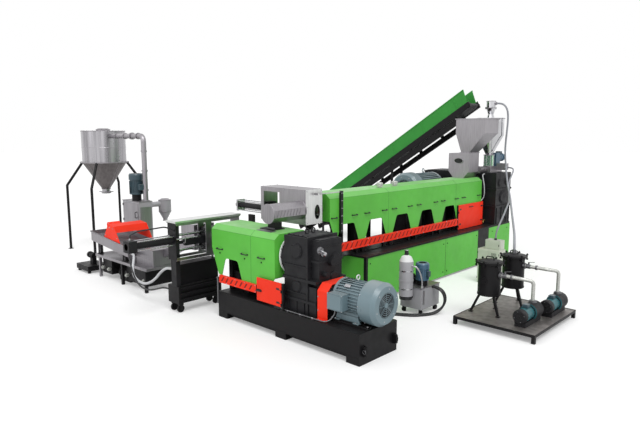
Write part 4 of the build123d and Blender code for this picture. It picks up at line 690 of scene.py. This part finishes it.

# First cover: handles, seams, vent caps, its inside painted near-black as painted shade, and the frames
# behind its windows

FIRST_COVER_HALF = 300
COVER_HANDLES = (1088, 1588, 1914, 2396, 2682, 3176, 3466, 4051, 4324, 4845, 5136, 5788)
handles = Piece("first_cover_handles", "black_hose")
for side, y in product((-1, 1), COVER_HANDLES):
    x = side * FIRST_COVER_HALF
    handles.handle((x, y - 58, 1474), (x, y + 58, 1474), X * side * 32, 8)
seams = Piece("first_cover_seams", "green_paint", SEAM)
seams.twins("x", 300, 300.7, 992, 5918, 1777, 1780)
for y in (2512, 4820):
    seams.twins("x", 300, 300.8, y, y + 4, 932, 1779)
    for side in (-1, 1):
        x, top = side * FIRST_COVER_HALF, side * 210
        outline = [(x, y, 1780), (x, y + 4, 1780), (top, y + 4, 1852), (top, y, 1852)]
        seams.plate(outline, (side * 0.6, 0, 0.8))
vents = Piece("first_cover_vents", "galvanised")
for y in (2486, 2926):
    vents.turned((120, y, 1850), Z, [
        (0, 52), (6, 52), (8, 34), (24, 34), (26, 58), (78, 58), (88, 48), (92, 20),
    ], 28)
    for z in range(1882, 1926, 7):
        vents.ring((120, y, z), Z, 59, 1.6, 28, 4)

COVER_EDGE = 7
# Near-black for the inward faces of the covers and the cut edges of their windows: painted shade.
PAINTED_INSIDE_SHADE = soft("cover_inside_painted_shade", (0.012, 0.012, 0.013), 0.7)


def is_inside(place, normal, across, along, half, ends):
    """Whether a face of a barrel cover looks inwards, or is a cut edge of a window."""
    if normal.z < -0.2 or normal[across] * place[across] < -0.3:
        return True
    cut = half - COVER_EDGE < abs(place[across]) < half - 0.1
    return cut and abs(normal[across]) < 0.3 and ends[0] < place[along] < ends[1]


# Both covers' inward faces and window cut edges take the painted shade.
recolour("first_barrel_cover", PAINTED_INSIDE_SHADE, lambda p, n: is_inside(p, n, 0, 1, FIRST_COVER_HALF, (1000, 5915)))
recolour("second_barrel_cover", PAINTED_INSIDE_SHADE, lambda p, n: is_inside(p, n, 1, 0, SECOND_COVER_HALF, (-955, 470)))
recolour("second_gearbox", WHITE, lambda p, n: 523.5 < p.x < 544)

WINDOWS = (1415, 2160, 2935, 3745, 4590)
frames = Piece("first_cover_frames", "dark_paint", edge=4)
for index, y in enumerate(WINDOWS):
    frames.twins("x", 219, 271, y - 330, y - 250, 812, 1500)
    frames.twins("x", 225, 265, y + 262, y + 320, 812, 1500)
    frames.twins("x", 225, 265, y - 250, y + 262, 1340, 1400)
    if index:
        frames.tube([(0, y - 190, 812), (0, y + 70, 1500)], 42, 10)
    if index > 2:
        frames.box(-150, 150, y - 240, y + 60, 812, 1360)
frames.box(-262, 262, 1085, 5350, 811, 822)
frames = Piece("second_cover_frames", "dark_paint", edge=4)
for x in (-690, -300):
    frames.box(x - 40, x + 40, -190, 190, 402, 1000)
frames.tube([(-640, 0, 405), (-420, 0, 930)], 60, 10)
frames.box(-660, -330, -150, 150, 402, 700)

# Transfer hood: black neck, slanted louvres and end flanges

recolour(
    "transfer_hood", DARK,
    lambda p, n: p.z < 1426 or (p.z < 1560 and abs(n.z) < 0.3 and 38 < p.x < 182),
)
ribs = Piece("hood_louvres", "stainless", edge=1.5)
for y in range(-75, 360, 62):
    ribs.plate([(261, y, 1598), (261, y + 16, 1598), (261, y + 52, 1694), (261, y + 36, 1694)], (7, 0, 0))
flange = Piece("hood_flanges", "stainless", edge=1.5)
for y in (-142, 498):
    flange.turned((130, y, 1647), Y, [(0, 143), (3, 146), (12, 146)])

# First changer: its guard's bolts and porthole rim, and the cylinder's tie rods

bolts = Piece("first_changer_bolts", *BARE_STEEL)
bolts.bolts(250, (540, 850), (1445, 1685, 1925), X, 7)
bolts.bolts((-745, -215, 225), 510, (1445, 1685, 1925), -Y, 7)
bolts.bolts((-740, -260, 220), (540, 690, 840), 1950, Z, 7)
bolts.bolts(345, (1218, 1242), range(1260, 1880, 120), X, 6)
hem = Piece("first_changer_porthole_rim", "dark_paint")
hem.ring((251, 760, 1600), X, 1, 0.8, 8, 4)
hem.closed_rods([(251, 760 + 53 * c, 1600 + 108 * s) for c, s in around(24)], 4)
caps = Piece("first_changer_cylinder_fittings", *BARE_STEEL, edge=2)
for z, y in product((1492, 1648), (622, 758)):
    caps.rod((-1500, y, z), (-812, y, z), 9, 12)
caps.box(-1530, -1500, 606, 774, 1474, 1666)
caps.box(-830, -810, 606, 774, 1474, 1666)
caps.turned((-1590, 690, 1570), -X, [(0, 46), (10, 46), (12, 30)])

# First motor and gearbox: grille, bolts, bearing caps and cover plates, and the base's tap

motor_details("first_motor", (-950, 4770, 1600), -Y, 350, FINISHES["motor_paint"], 8)
bolts = Piece("first_gearbox_bolts", "dark_casting")
bolts.bolts((-1168, -732), (5130, 5800), 1420, Z, 14)
bolts.bolt_circle((0, 5941, 1600), -Y, 262, 18, 12)
bolts.bolts(539, range(6150, 6860, 92), (1220, 1600), Z, 8)
bolts.bolts([x for x in range(-1280, 530, 115) if abs(x) > 290], 6121, (1220, 1600), Z, 8)
case = Piece("first_gearbox_covers", "dark_casting", edge=4)
case.cap((530, 6440, 1390), X, (130, 108, 104), (14, 30), 36)
case.cap((530, 6300, 1720), X, (84, 66, 62), (12, 24), 32)
case.cap((530, 6640, 1740), X, (92, 74, 70), (12, 26), 32)
case.cap((530, 6640, 1020), X, (96, 78, 74), (12, 26), 32)
case.box(-1240, -330, 6150, 6830, 1938, 1952)
for y in (6190, 6420, 6650, 6800):
    case.box(530, 546, y, y + 16, 812, 1178)
bolts = Piece("first_gearbox_cap_bolts", "dark_casting")
for y, z, radius, count in (
    (6440, 1390, 119, 10), (6300, 1720, 75, 6), (6640, 1740, 83, 8), (6640, 1020, 87, 8),
):
    bolts.bolt_circle((543, y, z), X, radius, count, 7)
tap = Piece("first_base_tap", "polished_steel", bright("brass", (0.6, 0.42, 0.14), 0.2))
tap.tube([(300, 6130, 878), (300, 6070, 878), (300, 6052, 862), (300, 6052, 838)], 11, 14, 14)
tap.disc((300, 6100, 878), -Y, 18, 22, 6)
tap.turned((300, 6085, 878), Z, [(0, 7), (30, 7), (31, 16), (36, 16)], 14)

# First base: the ledge's edge, and the seams and locks of its panels

seams = Piece("first_base_seams", "dark_paint", edge=0.5)
seams.twins("x", 560, 563, 1585, 5838, 782, 790)
for y in (2740, 4060):
    seams.twins("x", 550, 551, y - 4, y + 4, 40, 778)
keys = Piece("first_base_panel_locks", "dark_paint")
for side, y, z in product((-1, 1), (1700, 2670, 2800, 3980, 4120, 5290, 6000, 6720), (130, 680)):
    keys.turned((side * 550, y, z), X * side, [(0, 13), (3, 13), (4, 9), (7, 8)], 14)

# Small motors: grilles and terminal boxes

for name, face, axis, radius in (
    ("knife_motor", (-2279, 60, 1170), -X, 80),
    ("feeder_motor", (200, 7038, 2260), Y, 95),
    ("dryer_motor", (-4660, 450, 1978), Z, 145),
    ("oil_pump_motor", (1381, 1960, 790), Z, 108),
    ("vacuum_motor_a", (2970, 1941, 270), -Y, 100),
    ("vacuum_motor_b", (3060, 2641, 270), -Y, 100),
    ("water_pump_motor", (-3997, -285, 150), -X, 90),
    ("stand_pump_motor", (-5149, -400, 330), -X, 65),
):
    motor_details(name, face, axis, radius, DARK, 4)
boxes = Piece("small_terminal_boxes", "motor_paint", DARK_SLATE, edge=6)
boxes.box(-4520, -4430, 400, 500, 1640, 1760)
boxes.box(1455, 1515, 1925, 1995, 580, 670)
boxes.box(140, 260, 6830, 6930, 2345, 2400)
boxes.box(2930, 3010, 2120, 2210, 360, 410)
boxes.box(3020, 3100, 2820, 2910, 360, 410)

# Faces of CAD nodes that have another finish

recolour("dryer_motor", DARK, lambda p, n: p.z < 1552)
recolour("first_barrel", DARK, lambda p, n: p.z < 1470)
recolour("second_barrel", DARK, lambda p, n: p.z < 990)
recolour("second_changer_guard", DARK, lambda p, n: p.y < -766 and p.z < 1434)
recolour("second_changer_guard", PALE_STEEL, lambda p, n: p.z > 1434)
recolour("first_changer_guard", PALE_STEEL, lambda p, n: n.x > 0.9 and p.x > 245)
recolour("silo_shell", CONE_STEEL, lambda p, n: n.z < -0.3 and p.z < 2112)
recolour("hydraulic_tank", BLUE, lambda p, n: p.z > 522 and abs(p.x - 1381) < 112)
recolour("hydraulic_tank", DARK, lambda p, n: 433 < p.z < 522 or p.z < 89)
recolour("accumulator", WHITE, lambda p, n: p.z > 856)
recolour("accumulator", FINISHES["black_hose"], lambda p, n: p.z < 316 or p.z > 948)

# Hydraulic unit: lid, valve block, casters, clamps and the accumulator's pipe

unit = Piece("hydraulic_lid", "stainless", edge=2)
unit.box(1112, 1521, 1740, 2267, 425, 436)
unit.box(1511, 1519, 1790, 1826, 170, 390)
unit.turned((1190, 2195, 436), Z, [(0, 44), (6, 44), (8, 36), (40, 36), (44, 28)])
block = Piece("hydraulic_valves", "dark_paint", edge=3)
block.box(1160, 1270, 1900, 2050, 436, 530)
block.box(1175, 1255, 1860, 1900, 450, 510)
block.box(1175, 1255, 2050, 2130, 450, 505)
block.turned((1215, 1975, 530), Z, [(0, 26), (26, 26), (30, 18), (52, 18)], 20)
for x, y in product((1160, 1475), (1790, 2215)):
    block.turned((x - 16, y, 38), X, [(0, 34), (4, 38), (28, 38), (32, 34)])
    block.box(x - 24, x + 24, y - 24, y + 24, 78, 91)
pipe = Piece("hydraulic_pipes", *BARE_STEEL, edge=1.5)
pipe.tube([
    (1404, 1635, 791), (1480, 1635, 791), (1508, 1690, 715), (1508, 1762, 560), (1490, 1790, 432),
], 12, 12, 60)
pipe.tube([(1340, 1960, 480), (1295, 1975, 480), (1255, 1975, 480)], 12, 12, 10)
pipe.disc((1396, 1635, 791), X, 24, 26, 6)
pipe.disc((1490, 1790, 434), Z, 26, 28, 6)
pipe.turned((1300, 1635, 1020), Z, [(0, 36), (8, 36), (10, 30)])
for z in (420, 700):
    pipe.disc((1300, 1635, z), Z, 112, 20, 36)
    pipe.box(1286, 1314, 1740, 1752, z - 8, z + 28)
pipe.disc((1350, 2170, 436), Z, 10, 70, 12)
pipe.disc((1350, 2150, 530), Y, 34, 30, 28)

# Vacuum station: vessel lids with swing clamps, sight glasses, pipe flanges, platform rim

VESSELS = ((2340, 2290), (2410, 2950))
VACUUM_PUMPS = ((2970, 1940), (3060, 2640))
PUMP_PORT = 440
recolour(
    "vacuum_pumps", TEAL,
    lambda p, n: p.z > 191 and any(y + 82 < p.y < y + 319 for x, y in VACUUM_PUMPS),
)
dome = Piece("vessel_domes", "dark_paint")
clamps = Piece("vessel_swing_clamps", "dark_paint")
bands = Piece("vessel_bands", "dark_paint")
ties = Piece("vacuum_flanges", "galvanised", DULL_STEEL)
for x, y in VESSELS:
    dome.turned((x, y, 907), Z, [(0, 162), (8, 158), (20, 120), (27, 60), (29, 36)], 40)
    for z in (405, 850):
        bands.disc((x, y, z), Z, 172, 16, 40)
    bands.cap((x, y - 160, 640), -Y, (46, 34, 33), (14, 20), 28)
    for c, s in around(6, FULL_TURN / 12):
        cx, cy = x + 196 * c, y + 196 * s
        clamps.rod((cx, cy, 840), (cx, cy, 940), 8, 12)
        clamps.turned((cx, cy, 912), Z, [(0, 17), (16, 17), (18, 12)], 6)
        clamps.box(cx - 13, cx + 13, cy - 13, cy + 13, 842, 862)
    clamps.handle((x - 60, y, 934), (x + 60, y, 934), (0, 0, 40), 8)
for (x, y), (pump_x, pump_y), z in zip(VESSELS, VACUUM_PUMPS, (720, 760)):
    port = Vector((pump_x, pump_y + PUMP_PORT, 0))
    ties.turned((x + 164, y, z), X, [(0, 52), (14, 52), (15, 46), (30, 46)], 28)
    ties.disc((x + 210, y, z), X, 34, 60, 20)
    ties.turned((x + 240, y, z + 26), Z, [(0, 14), (34, 14), (36, 10)], 14)
    near, far = (x + 232, z + 60), (x + 330, z + 76)
    lever = [(px, y + dy, pz) for (px, pz), dy in ((near, -8), (far, -8), (far, 8), (near, 8))]
    ties.plate(lever, (0, 0, 7))
    ties.turned(port + Z * 389, Z, [(0, 56), (14, 56), (15, 48), (28, 48)], 28)
    ties.bolt_circle(port + Z * 403, Z, 50, 6, 6)
    ties.disc((pump_x - 300, y, z), X, 36, 26, 20)
ties.cap((2410, 2950, 934), Z, (36, 28, 28), (24, 60), 6)
rim = Piece("platform_rim", "dark_paint", edge=1)
rim.rim((2050, 3270), (1770, 3300), (119, 126), 7, 7)
for x, y in VACUUM_PUMPS:
    rim.cap((x, y + 556, 270), Y, (112, 96, 60), (14, 30), 32)
    rim.disc((x, y + 318, 270), -Y, 104, 16, 28)
PLATE = brushed("platform_plate", (0.3, 0.28, 0.27), (9, 9, 9), 0.5, 0.25)
recolour("vacuum_platform", PLATE, lambda p, n: n.z > 0.9 and p.z > 115)

# Control cabinet: doors, hinges, latches, vents and glands

doors = Piece("cabinet_doors", "cream_paint", edge=3)
for x0, x1 in ((1166, 1369), (1374, 1578)):
    doors.box(x0, x1, 4184, 4193, 22, 640)
doors.box(1280, 1560, 4243, 4251, 668, 822)
doors.box(1585, 1593, 4205, 4428, 26, 636)
doors.box(1566, 1573, 4262, 4418, 668, 822)
parts = Piece("cabinet_fittings", "black_hose", edge=1)
for x in (1350, 1392):
    parts.box(x - 7, x + 7, 4176, 4185, 310, 390)
parts.box(1540, 1550, 4236, 4244, 725, 765)
for x, z in product((1163, 1581), (80, 560)):
    parts.rod((x, 4186, z), (x, 4186, z + 40), 6, 10)
for z in range(470, 600, 14):
    parts.box(1430, 1530, 4182, 4185, z, z + 5)
parts.cap((1440, 4322, 832), Z, (30, 24, 22), (10, 34), 20)

# Silo: bands, seams, lid hatch, slide gate; clamps on the conveying pipe

SILO = Vector((-7000, 920, 0))
PIPE_CORNER = Vector((-4450, 540, 2745))
PIPE_HEADING = Vector((-0.989, 0.147, 0))
recolour(
    "silo_legs", FINISHES["stainless"],
    lambda p, n: p.z > 2111 and math.hypot(p.x - SILO.x, p.y - SILO.y) > 490,
)
bands = Piece("silo_fittings", "stainless")
for z in (2120, 2480, 2852):
    bands.ring(SILO + Z * z, Z, 502, 5, 64, 6)
for c, s in around(4, math.radians(-75)):
    out = X * c + Y * s
    bands.rod(SILO + out * 501 + Z * 2122, SILO + out * 501 + Z * 2850, 3, 8)
    bands.rod(SILO + out * 500 + Z * 2108, SILO + out * 94 + Z * 1482, 3, 8)
bands.turned(SILO + Z * 2898, Z, [(0, 168), (8, 168), (10, 140), (26, 120), (30, 60)], 40)
bands.box(-7130, -6870, 800, 1040, 1398, 1414)
bands.disc(SILO + Z * 1368, Z, 112, 12, 32)
bands.disc(SILO + Z * 1470, Z, 112, 12, 32)
bands.handle((-6870, 880, 1406), (-6870, 960, 1406), (60, 0, 0), 8)
bands.bolt_circle(SILO + Z * 2868, Z, 486, 20, 9)
bands.bolt_circle(SILO + Z * 2135, Z, 536, 20, 9)
for distance in (260, 1040, 1560):
    bands.disc(PIPE_CORNER + PIPE_HEADING * distance, PIPE_HEADING, 68, 30, 28)
for z in (1620, 2020, 2420):
    bands.disc((-4450, 540, z), Z, 64, 34, 28)

# Dryer: doors, handles, hinges and louvres; the cyclone's cap and rings

doors = Piece("dryer_doors", "stainless", edge=3)
doors.box(-4985, -4385, 309, 321, 150, 900)
doors.box(-4985, -4385, 309, 321, 915, 1370)
doors.box(-4351, -4340, 350, 590, 180, 1300)
doors.box(-5030, -4340, 310, 630, 1404, 1416)
doors.turned((-4410, 950, 1398), Z, [(0, 138), (10, 138), (12, 112), (34, 80), (40, 50)], 32)
doors.disc((-4410, 950, 1155), Z, 134, 14, 32)
doors.disc((-4410, 950, 962), Z, 58, 12)
doors.disc((-4450, 540, 1416), Z, 84, 12, 28)
parts = Piece("dryer_fittings", "black_hose", edge=1)
for z in (520, 1140):
    parts.handle((-4440, 309, z - 60), (-4440, 309, z + 60), (0, -34, 0), 8)
for z in (220, 800, 980, 1300):
    parts.rod((-4990, 305, z), (-4990, 305, z + 50), 9, 12)
for z in range(300, 700, 34):
    parts.box(-4338, -4334, 390, 550, z, z + 12)
parts.bolt_circle((-4660, 450, 1552), Z, 118, 8, 9)

# Vibrating screen: rim, springs, screen bars, bolts, and fittings of the bench

TROUGH_START = -4720
TROUGH_FALL = 0.0897


def trough_drop(x):
    """How far the trough has come down at a place along it."""
    return TROUGH_FALL * (x - TROUGH_START)


rim = Piece("trough_rim", "stainless", edge=1.5)
for y in (-549, 140):
    rim.plate([(-4728, y, 890), (-3262, y, 759), (-3262, y, 741), (-4728, y, 872)], (0, 9, 0))
rim.box(-4728, -4719, -549, 149, 872, 890)
for x in range(-4690, -3303, 42):
    rim.rod((x, -520, 810 - trough_drop(x)), (x, 130, 810 - trough_drop(x)), 5, 8)
rim.box(-3248, -2642, -388, 78, 742, 752)
rim.box(-3240, -2650, -386, -378, 560, 580)
springs = Piece("trough_springs", "dark_paint")
for (x, top), y in product(((-4490, 668), (-3500, 580)), (-460, 70)):
    for z in range(470, top, 21):
        springs.ring((x, y, z), (0.05, 0, 1), 42, 6.5, 24, 6)
    springs.disc((x, y, 455), Z, 62, 10)
bolts = Piece("trough_bolts", *BARE_STEEL)
for x in range(-4660, -3300, 190):
    bolts.bolt((x, -549, 868 - trough_drop(x)), -Y, 8)
for x, z in ((-4100, 880), (-3920, 1040), (-3800, 1030), (-3650, 860)):
    bolts.bolt((x, -530, z), -Y, 9)
bolts.bolt_circle((-4075, -480, 1060), -Y, 46, 6, 6)
recolour(
    "screen_bench", DARK, lambda p, n: p.z < 404 and abs(n.z) < 0.5 and not -4560 < p.x < -4425,
)
tanks = Piece("bench_fittings", "galvanised")
for x0, x1 in ((-4420, -4060), (-3480, -2750)):
    tanks.box(x0 - 8, x1 + 8, -470, -456, 370, 392)
    for x in (x0 + 60, x1 - 60):
        tanks.cap((x, -460, 200), -Y, (34, 22, 22), (40, 60), 20)
tanks.tube([(-3578, -285, 190), (-3520, -285, 190), (-3520, -300, 330)], 26, 14, 40)
tanks.tube([(-4800, -400, 330), (-4700, -400, 330), (-4640, -400, 400), (-4560, -400, 430)], 20, 14, 50)

# Second screen changer: bright rods, cylinder tie rods, ports and the guard's rails

CHANGER_X = -1370
recolour(
    "second_screen_changer", BARE,
    lambda p, n: abs(p.x - CHANGER_X) < 24 and abs(p.y) > 192 and min(abs(p.z - 990), abs(p.z - 1230)) < 24,
)
rods = Piece("second_changer_rods", *BARE_STEEL)
for x, z in product((CHANGER_X - 66, CHANGER_X + 66), (1094, 1226)):
    rods.rod((x, -1395, z), (x, -768, z), 9, 12)
rods.rod((-1275, -770, 1182), (-1275, -375, 1182), 13, 14)
rods.turned((CHANGER_X, -1530, 1160), -Y, [(-4, 50), (0, 50)], 20)
for y, z in ((-1465, 1244), (-820, 1214)):
    rods.cap((CHANGER_X, y, z), Z, (18, 13, 13), (24, 40), 6)
parts = Piece("second_changer_leads", "black_hose")
parts.turned((-1275, -375, 1182), Y, [(0, 26), (30, 30), (44, 24)], 20)
parts.tube([
    (CHANGER_X, -1465, 1280), (CHANGER_X, -1465, 1330), (CHANGER_X, -1350, 1370),
    (-1330, -900, 1390), (-1300, -760, 1300),
], 11, 10, 60)
rails = Piece("second_changer_rails", "stainless", edge=2)
for x in (-1492, -1250):
    for z0, z1 in ((1421, 1435), (850, 862)):
        rails.box(x, x + 12, -790, 450, z0, z1)
rails.handle((-1250, -640, 1120), (-1250, -640, 1240), (36, 0, 0), 8)

# Hoppers, feed box, feeder and loader: flanges, bolts, sight glass and port

SIDE_HOPPER = Vector((200, 6400, 0))
flanges = Piece("hopper_flanges", "stainless", edge=1.5)
flanges.rim((-128, 578), (5432, 6078), (3092, 3112), 18, 18)
flanges.rim((-12, 232), (5456, 5904), (2384, 2398), 32, 24)
for z, radius, height, sides in (
    (2318, 124, 14, 36), (2071, 124, 14, 36), (3120, 314, 12, 56), (3352, 112, 16, 32),
):
    flanges.disc(SIDE_HOPPER + Z * z, Z, radius, height, sides)
flanges.turned(SIDE_HOPPER + Z * 3500, Z, [(0, 110), (10, 110), (14, 96)], 32)
flanges.cap((300, 6400, 3455), X, (38, 32, 32), (10, 36))
flanges.box(205, 285, 6080, 6110, 1985, 2045)
GLASS = clear("sight_glass", (0.55, 0.85, 0.6))
recolour(
    "side_feeder", GLASS,
    lambda p, n: p.z > 2090 and math.hypot(p.x - SIDE_HOPPER.x, p.y - SIDE_HOPPER.y) < 102,
)
bolts = Piece("hopper_bolts", *BARE_STEEL)
for c, s in around(8):
    x, y = SIDE_HOPPER.x + 113 * c, SIDE_HOPPER.y + 113 * s
    bolts.rod((x, y, 2068), (x, y, 2340), 5, 10)
bolts.bolts((-4, 224), range(5500, 5890, 92), 2398, Z, 7)
for x, z in ((-225, 2365), (0, 2365), (225, 2365), (-225, 2130), (225, 2130), (-130, 1990), (130, 1990)):
    bolts.bolt((x, 5420, z), -Y, 8)
for c, s in around(4, math.radians(45)):
    x, y = SIDE_HOPPER.x + 112 * c, SIDE_HOPPER.y + 112 * s
    bolts.box(x - 12, x + 12, y - 12, y + 12, 3335, 3380)
# A near-black plate in the feed box's port: painted shade of the opening.
port = Piece("feed_box_port", "black_hose", PAINTED_INSIDE_SHADE)
outline = [(104 * c, 5413, 2220 + 58 * s) for c, s in around(32)]
port.plate(outline, (0, 7, 0))
port = Piece("feed_box_port_rim", "stainless")
port.closed_rods(outline, 7)

# Conveyor: edge lips, belt flights, lower chords, bearings and feet

SLOPE = math.radians(32)
HEAD_X, HEAD_Z = -150, 3750


def sloped(distance, depth):
    """The (x, z) point at a distance down the conveyor's slope and a depth under its upper edge."""
    x = HEAD_X - distance * math.cos(SLOPE) + depth * math.sin(SLOPE)
    z = HEAD_Z - distance * math.sin(SLOPE) - depth * math.cos(SLOPE)
    return x, z


def sloped_bar(piece, distances, depths, y_span):
    """A bar of the conveyor between two distances, two depths and two places across."""
    (start, end), (top, bottom), (near, far) = distances, depths, y_span
    corners = [sloped(start, top), sloped(end, top), sloped(end, bottom), sloped(start, bottom)]
    piece.plate([(x, near, z) for x, z in corners], (0, far - near, 0))


lips = Piece("conveyor_lips", "green_paint", CONVEYOR_GREEN, edge=1)
for y in (5759, 6173):
    sloped_bar(lips, (0, 6190), (2, 22), (y, y + 8))
    sloped_bar(lips, (10, 6190), (280, 300), (y, y + 8))
for distance, y in product(range(300, 6100, 960), (5760, 6173)):
    sloped_bar(lips, (distance, distance + 34), (20, 282), (y, y + 7))
flights = Piece("belt_flights", "belt_rubber", edge=3)
for distance in range(180, 6000, 300):
    sloped_bar(flights, (distance, distance + 14), (258, 311), (5815, 6125))
chords = Piece("conveyor_chords", "dark_paint", edge=2)
for y, depth in ((5744, 468), (6152, 505)):
    sloped_bar(chords, (440, 5880), (depth, depth + 118), (y, y + 44))
    for distance in range(460, 5860, 675):
        sloped_bar(chords, (distance, distance + 60), (425, depth + 2), (y, y + 40))
for distance in (80, 6110):
    x, z = sloped(distance, 365)
    for y in (5738, 6164):
        chords.box(x - 60, x + 60, y, y + 36, z - 40, z + 40)
        chords.disc((x, y - 4, z), Y, 40, 44)
for x, y in product((-2000, -4300), (5770, 6170)):
    chords.box(x - 70, x + 70, y - 60, y + 60, 0, 12)

# Second base's end: grey riser with its clamps

riser = Piece("second_base_riser", "galvanised", DULL_STEEL)
riser.tube([(-800, -355, 200), (-800, -355, 600)], 14, 14)
riser.disc((-800, -355, 196), Z, 22, 16, 6)
riser.disc((-800, -355, 588), Z, 22, 20, 6)
for z in (250, 360):
    riser.box(-800, -758, -366, -344, z, z + 14)

for piece in Piece.made:
    piece.place()

# Camera, floor and light


def make_camera():
    data = bpy.data.cameras.new("camera")
    data.lens = LENS_MM
    data.sensor_width = 36
    data.clip_end = 200
    camera = added("camera", data)
    camera.location = at(*CAMERA_PLACE)
    camera.rotation_euler = (math.radians(90 - CAMERA_PITCH), 0, math.radians(CAMERA_YAW))
    SCENE.camera = camera


def make_floor():
    mesh = bpy.data.meshes.new("floor")
    corners = [(x * FLOOR_REACH, y * FLOOR_REACH, 0) for x, y in ((-1, -1), (1, -1), (1, 1), (-1, 1))]
    mesh.from_pydata(corners, [], [(0, 1, 2, 3)])
    floor = added("floor", mesh)
    f = Finish("floor", Base_Color=(0.8, 0.8, 0.8, 1), Roughness=0.85, Specular_IOR_Level=0.1)
    f.set(Emission_Color=(1, 1, 1, 1))
    glow = f.node("ShaderNodeMath", operation="MULTIPLY")
    glow.inputs[1].default_value = FLOOR_GLOW
    f.link(f.node("ShaderNodeLightPath").outputs["Is Camera Ray"], glow.inputs[0])
    f.feed("Emission Strength", glow.outputs[0])
    mesh.materials.append(f.material)


def make_world():
    world = bpy.data.worlds.new("world")
    SCENE.world = world
    world.use_nodes = True
    nodes, link = world.node_tree.nodes, world.node_tree.links.new
    background = nodes["Background"].inputs
    background["Color"].default_value = (1, 1, 1, 1)
    path = nodes.new("ShaderNodeLightPath").outputs
    seen = nodes.new("ShaderNodeMath")
    seen.operation = "MAXIMUM"
    link(path["Is Camera Ray"], seen.inputs[0])
    link(path["Is Glossy Ray"], seen.inputs[1])
    strength = nodes.new("ShaderNodeMapRange")
    strength.inputs["To Min"].default_value = WORLD_LIGHT
    strength.inputs["To Max"].default_value = WORLD_SEEN
    link(seen.outputs[0], strength.inputs["Value"])
    link(strength.outputs["Result"], background["Strength"])


def make_sun(name, tilt, turn, energy, angle):
    data = bpy.data.lights.new(name, "SUN")
    data.energy = energy
    data.angle = math.radians(angle)
    lamp = added(name, data)
    lamp.rotation_euler = (math.radians(tilt), 0, math.radians(turn))


SCENE.view_settings.view_transform = "Standard"
make_camera()
make_floor()
make_world()
make_sun("key", 32, 62, 1.35, 30)
make_sun("fill", 58, -5, 0.5, 60)

# Hoses: their routes' points, in millimetres from the plan datum like all the rest

HOSES = {
    "loader_hose": (40, "grey_hose", "medium", [
        (335, 6400, 3455), (430, 6400, 3455), (525, 6414, 3405), (580, 6430, 3290), (592, 6438, 3120),
        (580, 6441, 2900), (562, 6443, 2660), (552, 6445, 2420), (585, 6430, 2150), (700, 6260, 1890),
        (900, 5906, 1700), (1180, 5420, 1550), (1480, 4830, 1420), (1800, 4190, 1310),
        (2080, 3630, 1235), (2280, 3220, 1190), (2375, 3020, 1130), (2410, 2950, 1020),
        (2410, 2950, 908),
    ]),
    "feeder_hose": (32, "grey_hose", "medium", [
        (540, 6600, 2050), (635, 6600, 2050), (715, 6555, 2025), (750, 6465, 1965), (765, 6340, 1870),
        (790, 6190, 1755), (905, 5950, 1590), (1090, 5575, 1465), (1260, 5190, 1425),
        (1385, 4850, 1395), (1455, 4580, 1270), (1478, 4410, 1160), (1460, 4340, 1040),
        (1440, 4322, 935), (1440, 4322, 832),
    ]),
    "trough_hose": (44, "white_hose", "limp", [
        (-3270, -470, 630), (-3160, -470, 630), (-3050, -530, 585), (-2960, -600, 490),
        (-2880, -650, 390), (-2770, -685, 320), (-2602, -698, 273), (-2414, -700, 262),
        (-2203, -700, 325), (-2035, -690, 430), (-1912, -680, 545), (-1790, -660, 628),
        (-1690, -650, 650), (-1575, -650, 650),
    ]),
    "drain_hose": (28, "black_hose", "limp", [
        (-3270, -505, 712), (-3185, -505, 712), (-3060, -610, 648), (-2900, -680, 545),
        (-2785, -715, 441), (-2631, -745, 325), (-2501, -757, 252), (-2357, -762, 217),
        (-2210, -757, 212), (-2050, -745, 240), (-1870, -725, 300), (-1730, -712, 335),
        (-1575, -712, 335),
    ]),
    "hydraulic_hose": (34, "black_hose", "medium", [
        (1511, 2050, 405), (1606, 2050, 405), (1695, 2060, 350), (1732, 2070, 240), (1718, 2050, 130),
        (1668, 1980, 45), (1605, 1880, 17), (1545, 1765, 17), (1465, 1650, 17), (1340, 1560, 17),
        (1200, 1490, 17), (1060, 1390, 17), (930, 1210, 17), (830, 980, 17), (775, 770, 17),
        (740, 610, 40), (722, 510, 92), (720, 445, 105), (720, 380, 105),
    ]),
    "return_hose": (34, "black_hose", "medium", [
        (1511, 2095, 405), (1606, 2095, 405), (1694, 2105, 350), (1727, 2112, 240), (1705, 2085, 130),
        (1640, 2005, 45), (1573, 1905, 17), (1512, 1795, 17), (1430, 1695, 17), (1305, 1610, 17),
        (1155, 1535, 17), (985, 1420, 17), (850, 1215, 17), (765, 985, 17), (712, 770, 17),
        (676, 610, 40), (654, 510, 92), (650, 445, 105), (650, 380, 105),
    ]),
    "oil_hose": (22, "white_hose", "medium", [
        (250, 6130, 1915), (250, 6060, 1915), (265, 6010, 1883), (290, 5988, 1821), (312, 5983, 1746),
        (327, 5985, 1660), (328, 5995, 1560), (322, 6012, 1480), (302, 6022, 1410), (275, 6005, 1350),
        (250, 5965, 1322), (250, 5920, 1322),
    ]),
}


def hose_curve(name, diameter, slot, points):
    data = bpy.data.curves.new(name + "_tube", "CURVE")
    data.dimensions = "3D"
    data.bevel_depth = diameter / 2 * MM
    data.bevel_resolution = 4
    data.resolution_u = 10
    spline = data.splines.new("NURBS")
    spline.points.add(len(points) - 1)
    for target, point in zip(spline.points, points):
        target.co = (*at(*point), 1)
    spline.order_u = 3
    spline.use_endpoint_u = True
    tube = added(name + "_tube", data)
    data.materials.append(FINISHES[slot])
    return tube


def spline_length(curve):
    """The length of a curve's line, and the points that Blender gives for it."""
    depth = curve.data.bevel_depth
    curve.data.bevel_depth = 0
    bpy.context.view_layer.update()
    line = bpy.data.meshes.new_from_object(curve.evaluated_get(bpy.context.evaluated_depsgraph_get()))
    curve.data.bevel_depth = depth
    points = [vertex.co.copy() for vertex in line.vertices]
    bpy.data.meshes.remove(line)
    return sum((b - a).length for a, b in zip(points, points[1:])), points


for name, (diameter, slot, stiffness, points) in HOSES.items():
    tube = hose_curve(name, diameter, slot, points)
    length, line = spline_length(tube)
    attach(tube, "line")
    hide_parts(name)
